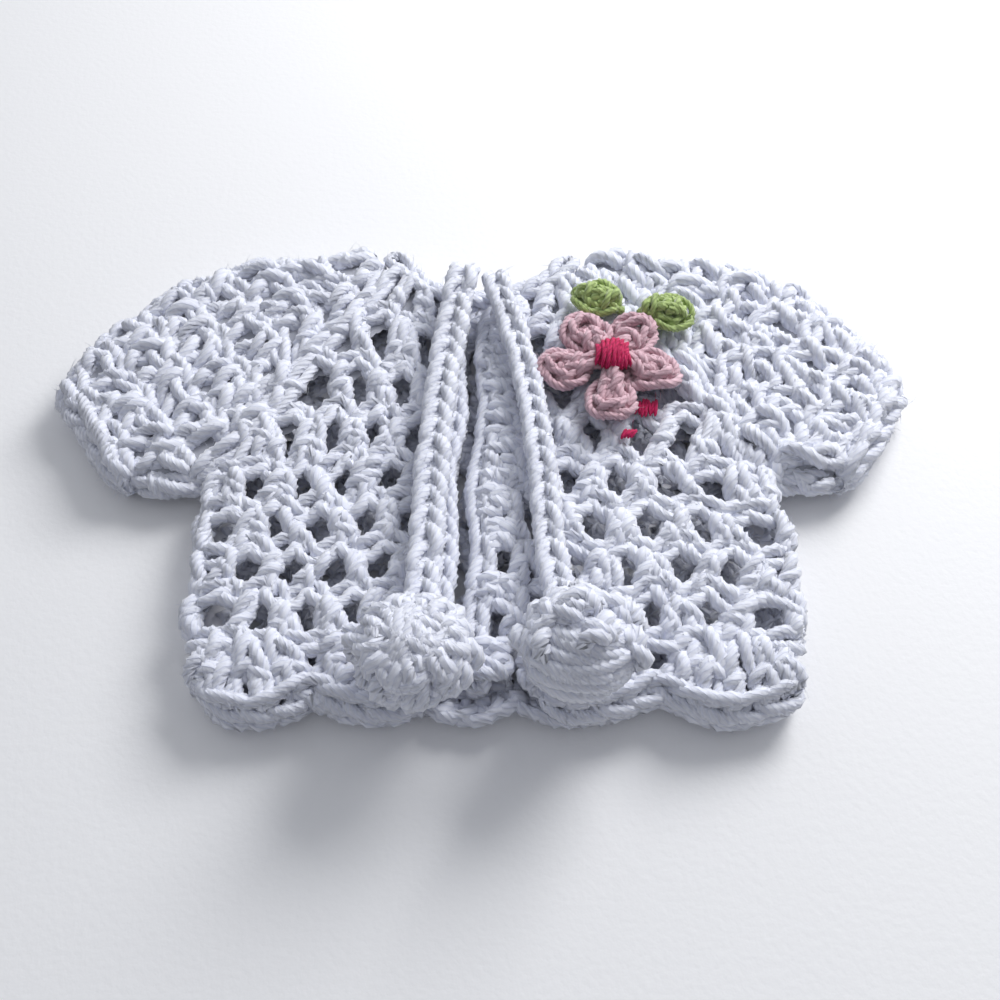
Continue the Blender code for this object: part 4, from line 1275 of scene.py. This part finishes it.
class CardiganLooks(bpy.types.PropertyGroup):
    """Colours and lights"""

    white: FloatVectorProperty(name="White", description="Colour of the white cotton",
                               default=(0.885, 0.905, 0.99), min=0, max=1, subtype="COLOR")
    # painted shade: the colour painted into the grooves between the white cotton's plies
    white_painted_shade: FloatVectorProperty(name="White, between plies", description="Colour between its plies",
                                     default=(0.63, 0.66, 0.81), min=0, max=1, subtype="COLOR")
    far: FloatVectorProperty(name="Far cloth", description="Colour of the cloth seen through the gaps",
                             default=(0.86, 0.86, 0.9), min=0, max=1, subtype="COLOR")
    # painted shade: the white cotton inside the stitches is coloured grey for the shade between them
    inner: FloatVectorProperty(name="Inner cloth", description="Colour of the cloth inside the stitches",
                               default=(0.42, 0.43, 0.48), min=0, max=1, subtype="COLOR")
    pink: FloatVectorProperty(name="Pink", description="Colour of the petals", default=(0.80, 0.54, 0.61),
                              min=0, max=1, subtype="COLOR")
    # painted shade: the colour painted into the grooves between the petals' plies
    pink_painted_shade: FloatVectorProperty(name="Pink, between plies", description="Colour between their plies",
                                    default=(0.36, 0.17, 0.21), min=0, max=1, subtype="COLOR")
    crimson: FloatVectorProperty(name="Crimson", description="Colour of the stitched middle",
                                 default=(0.72, 0.015, 0.13), min=0, max=1, subtype="COLOR")
    # painted shade: the colour painted into the grooves between the floss's plies
    crimson_painted_shade: FloatVectorProperty(name="Crimson, between plies", description="Colour between its plies",
                                       default=(0.30, 0.0, 0.05), min=0, max=1, subtype="COLOR")
    green: FloatVectorProperty(name="Green", description="Colour of the leaves", default=(0.52, 0.66, 0.24),
                               min=0, max=1, subtype="COLOR")
    # painted shade: the colour painted into the grooves between the leaves' plies
    green_painted_shade: FloatVectorProperty(name="Green, between plies", description="Colour between their plies",
                                     default=(0.07, 0.14, 0.012), min=0, max=1, subtype="COLOR")
    key_power: FloatProperty(name="Key light", description="Power of the light from behind",
                             default=1.72, min=0, max=20, unit="POWER")
    fill_power: FloatProperty(name="Fill light", description="Power of the soft light in front",
                              default=0.22, min=0, max=20, unit="POWER")
    world_strength: FloatProperty(name="Surroundings", description="Strength of the pale surroundings",
                                  default=0.45, min=0, max=5)


class CARDIGAN_PT_panel(bpy.types.Panel):
    """Lists the cardigan's sizes, colours and steps"""

    bl_idname = "CARDIGAN_PT_panel"
    bl_label = "Crochet Cardigan"
    bl_space_type = "VIEW_3D"
    bl_region_type = "UI"
    bl_category = "Cardigan"

    def draw(self, context):
        for group in (context.scene.cardigan_sizes, context.scene.cardigan_looks):
            for name in group.__annotations__:
                self.layout.prop(group, name)
        for step in STEPS:
            self.layout.operator(step.bl_idname)


STEPS = (
    CARDIGAN_OT_camera,
    CARDIGAN_OT_ties,
    CARDIGAN_OT_fronts,
    CARDIGAN_OT_sleeves,
    CARDIGAN_OT_back,
    CARDIGAN_OT_flower,
    CARDIGAN_OT_stage,
)
CLASSES = (CardiganSizes, CardiganLooks, *STEPS, CARDIGAN_PT_panel)


def register():
    for cls in CLASSES:
        bpy.utils.register_class(cls)
    bpy.types.Scene.cardigan_sizes = PointerProperty(type=CardiganSizes)
    bpy.types.Scene.cardigan_looks = PointerProperty(type=CardiganLooks)


def unregister():
    del bpy.types.Scene.cardigan_looks
    del bpy.types.Scene.cardigan_sizes
    for cls in reversed(CLASSES):
        bpy.utils.unregister_class(cls)


def main():
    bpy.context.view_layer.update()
    register()
    for step in STEPS:
        group, name = step.bl_idname.split(".")
        getattr(getattr(bpy.ops, group), name)()


if __name__ == "__main__":
    main()
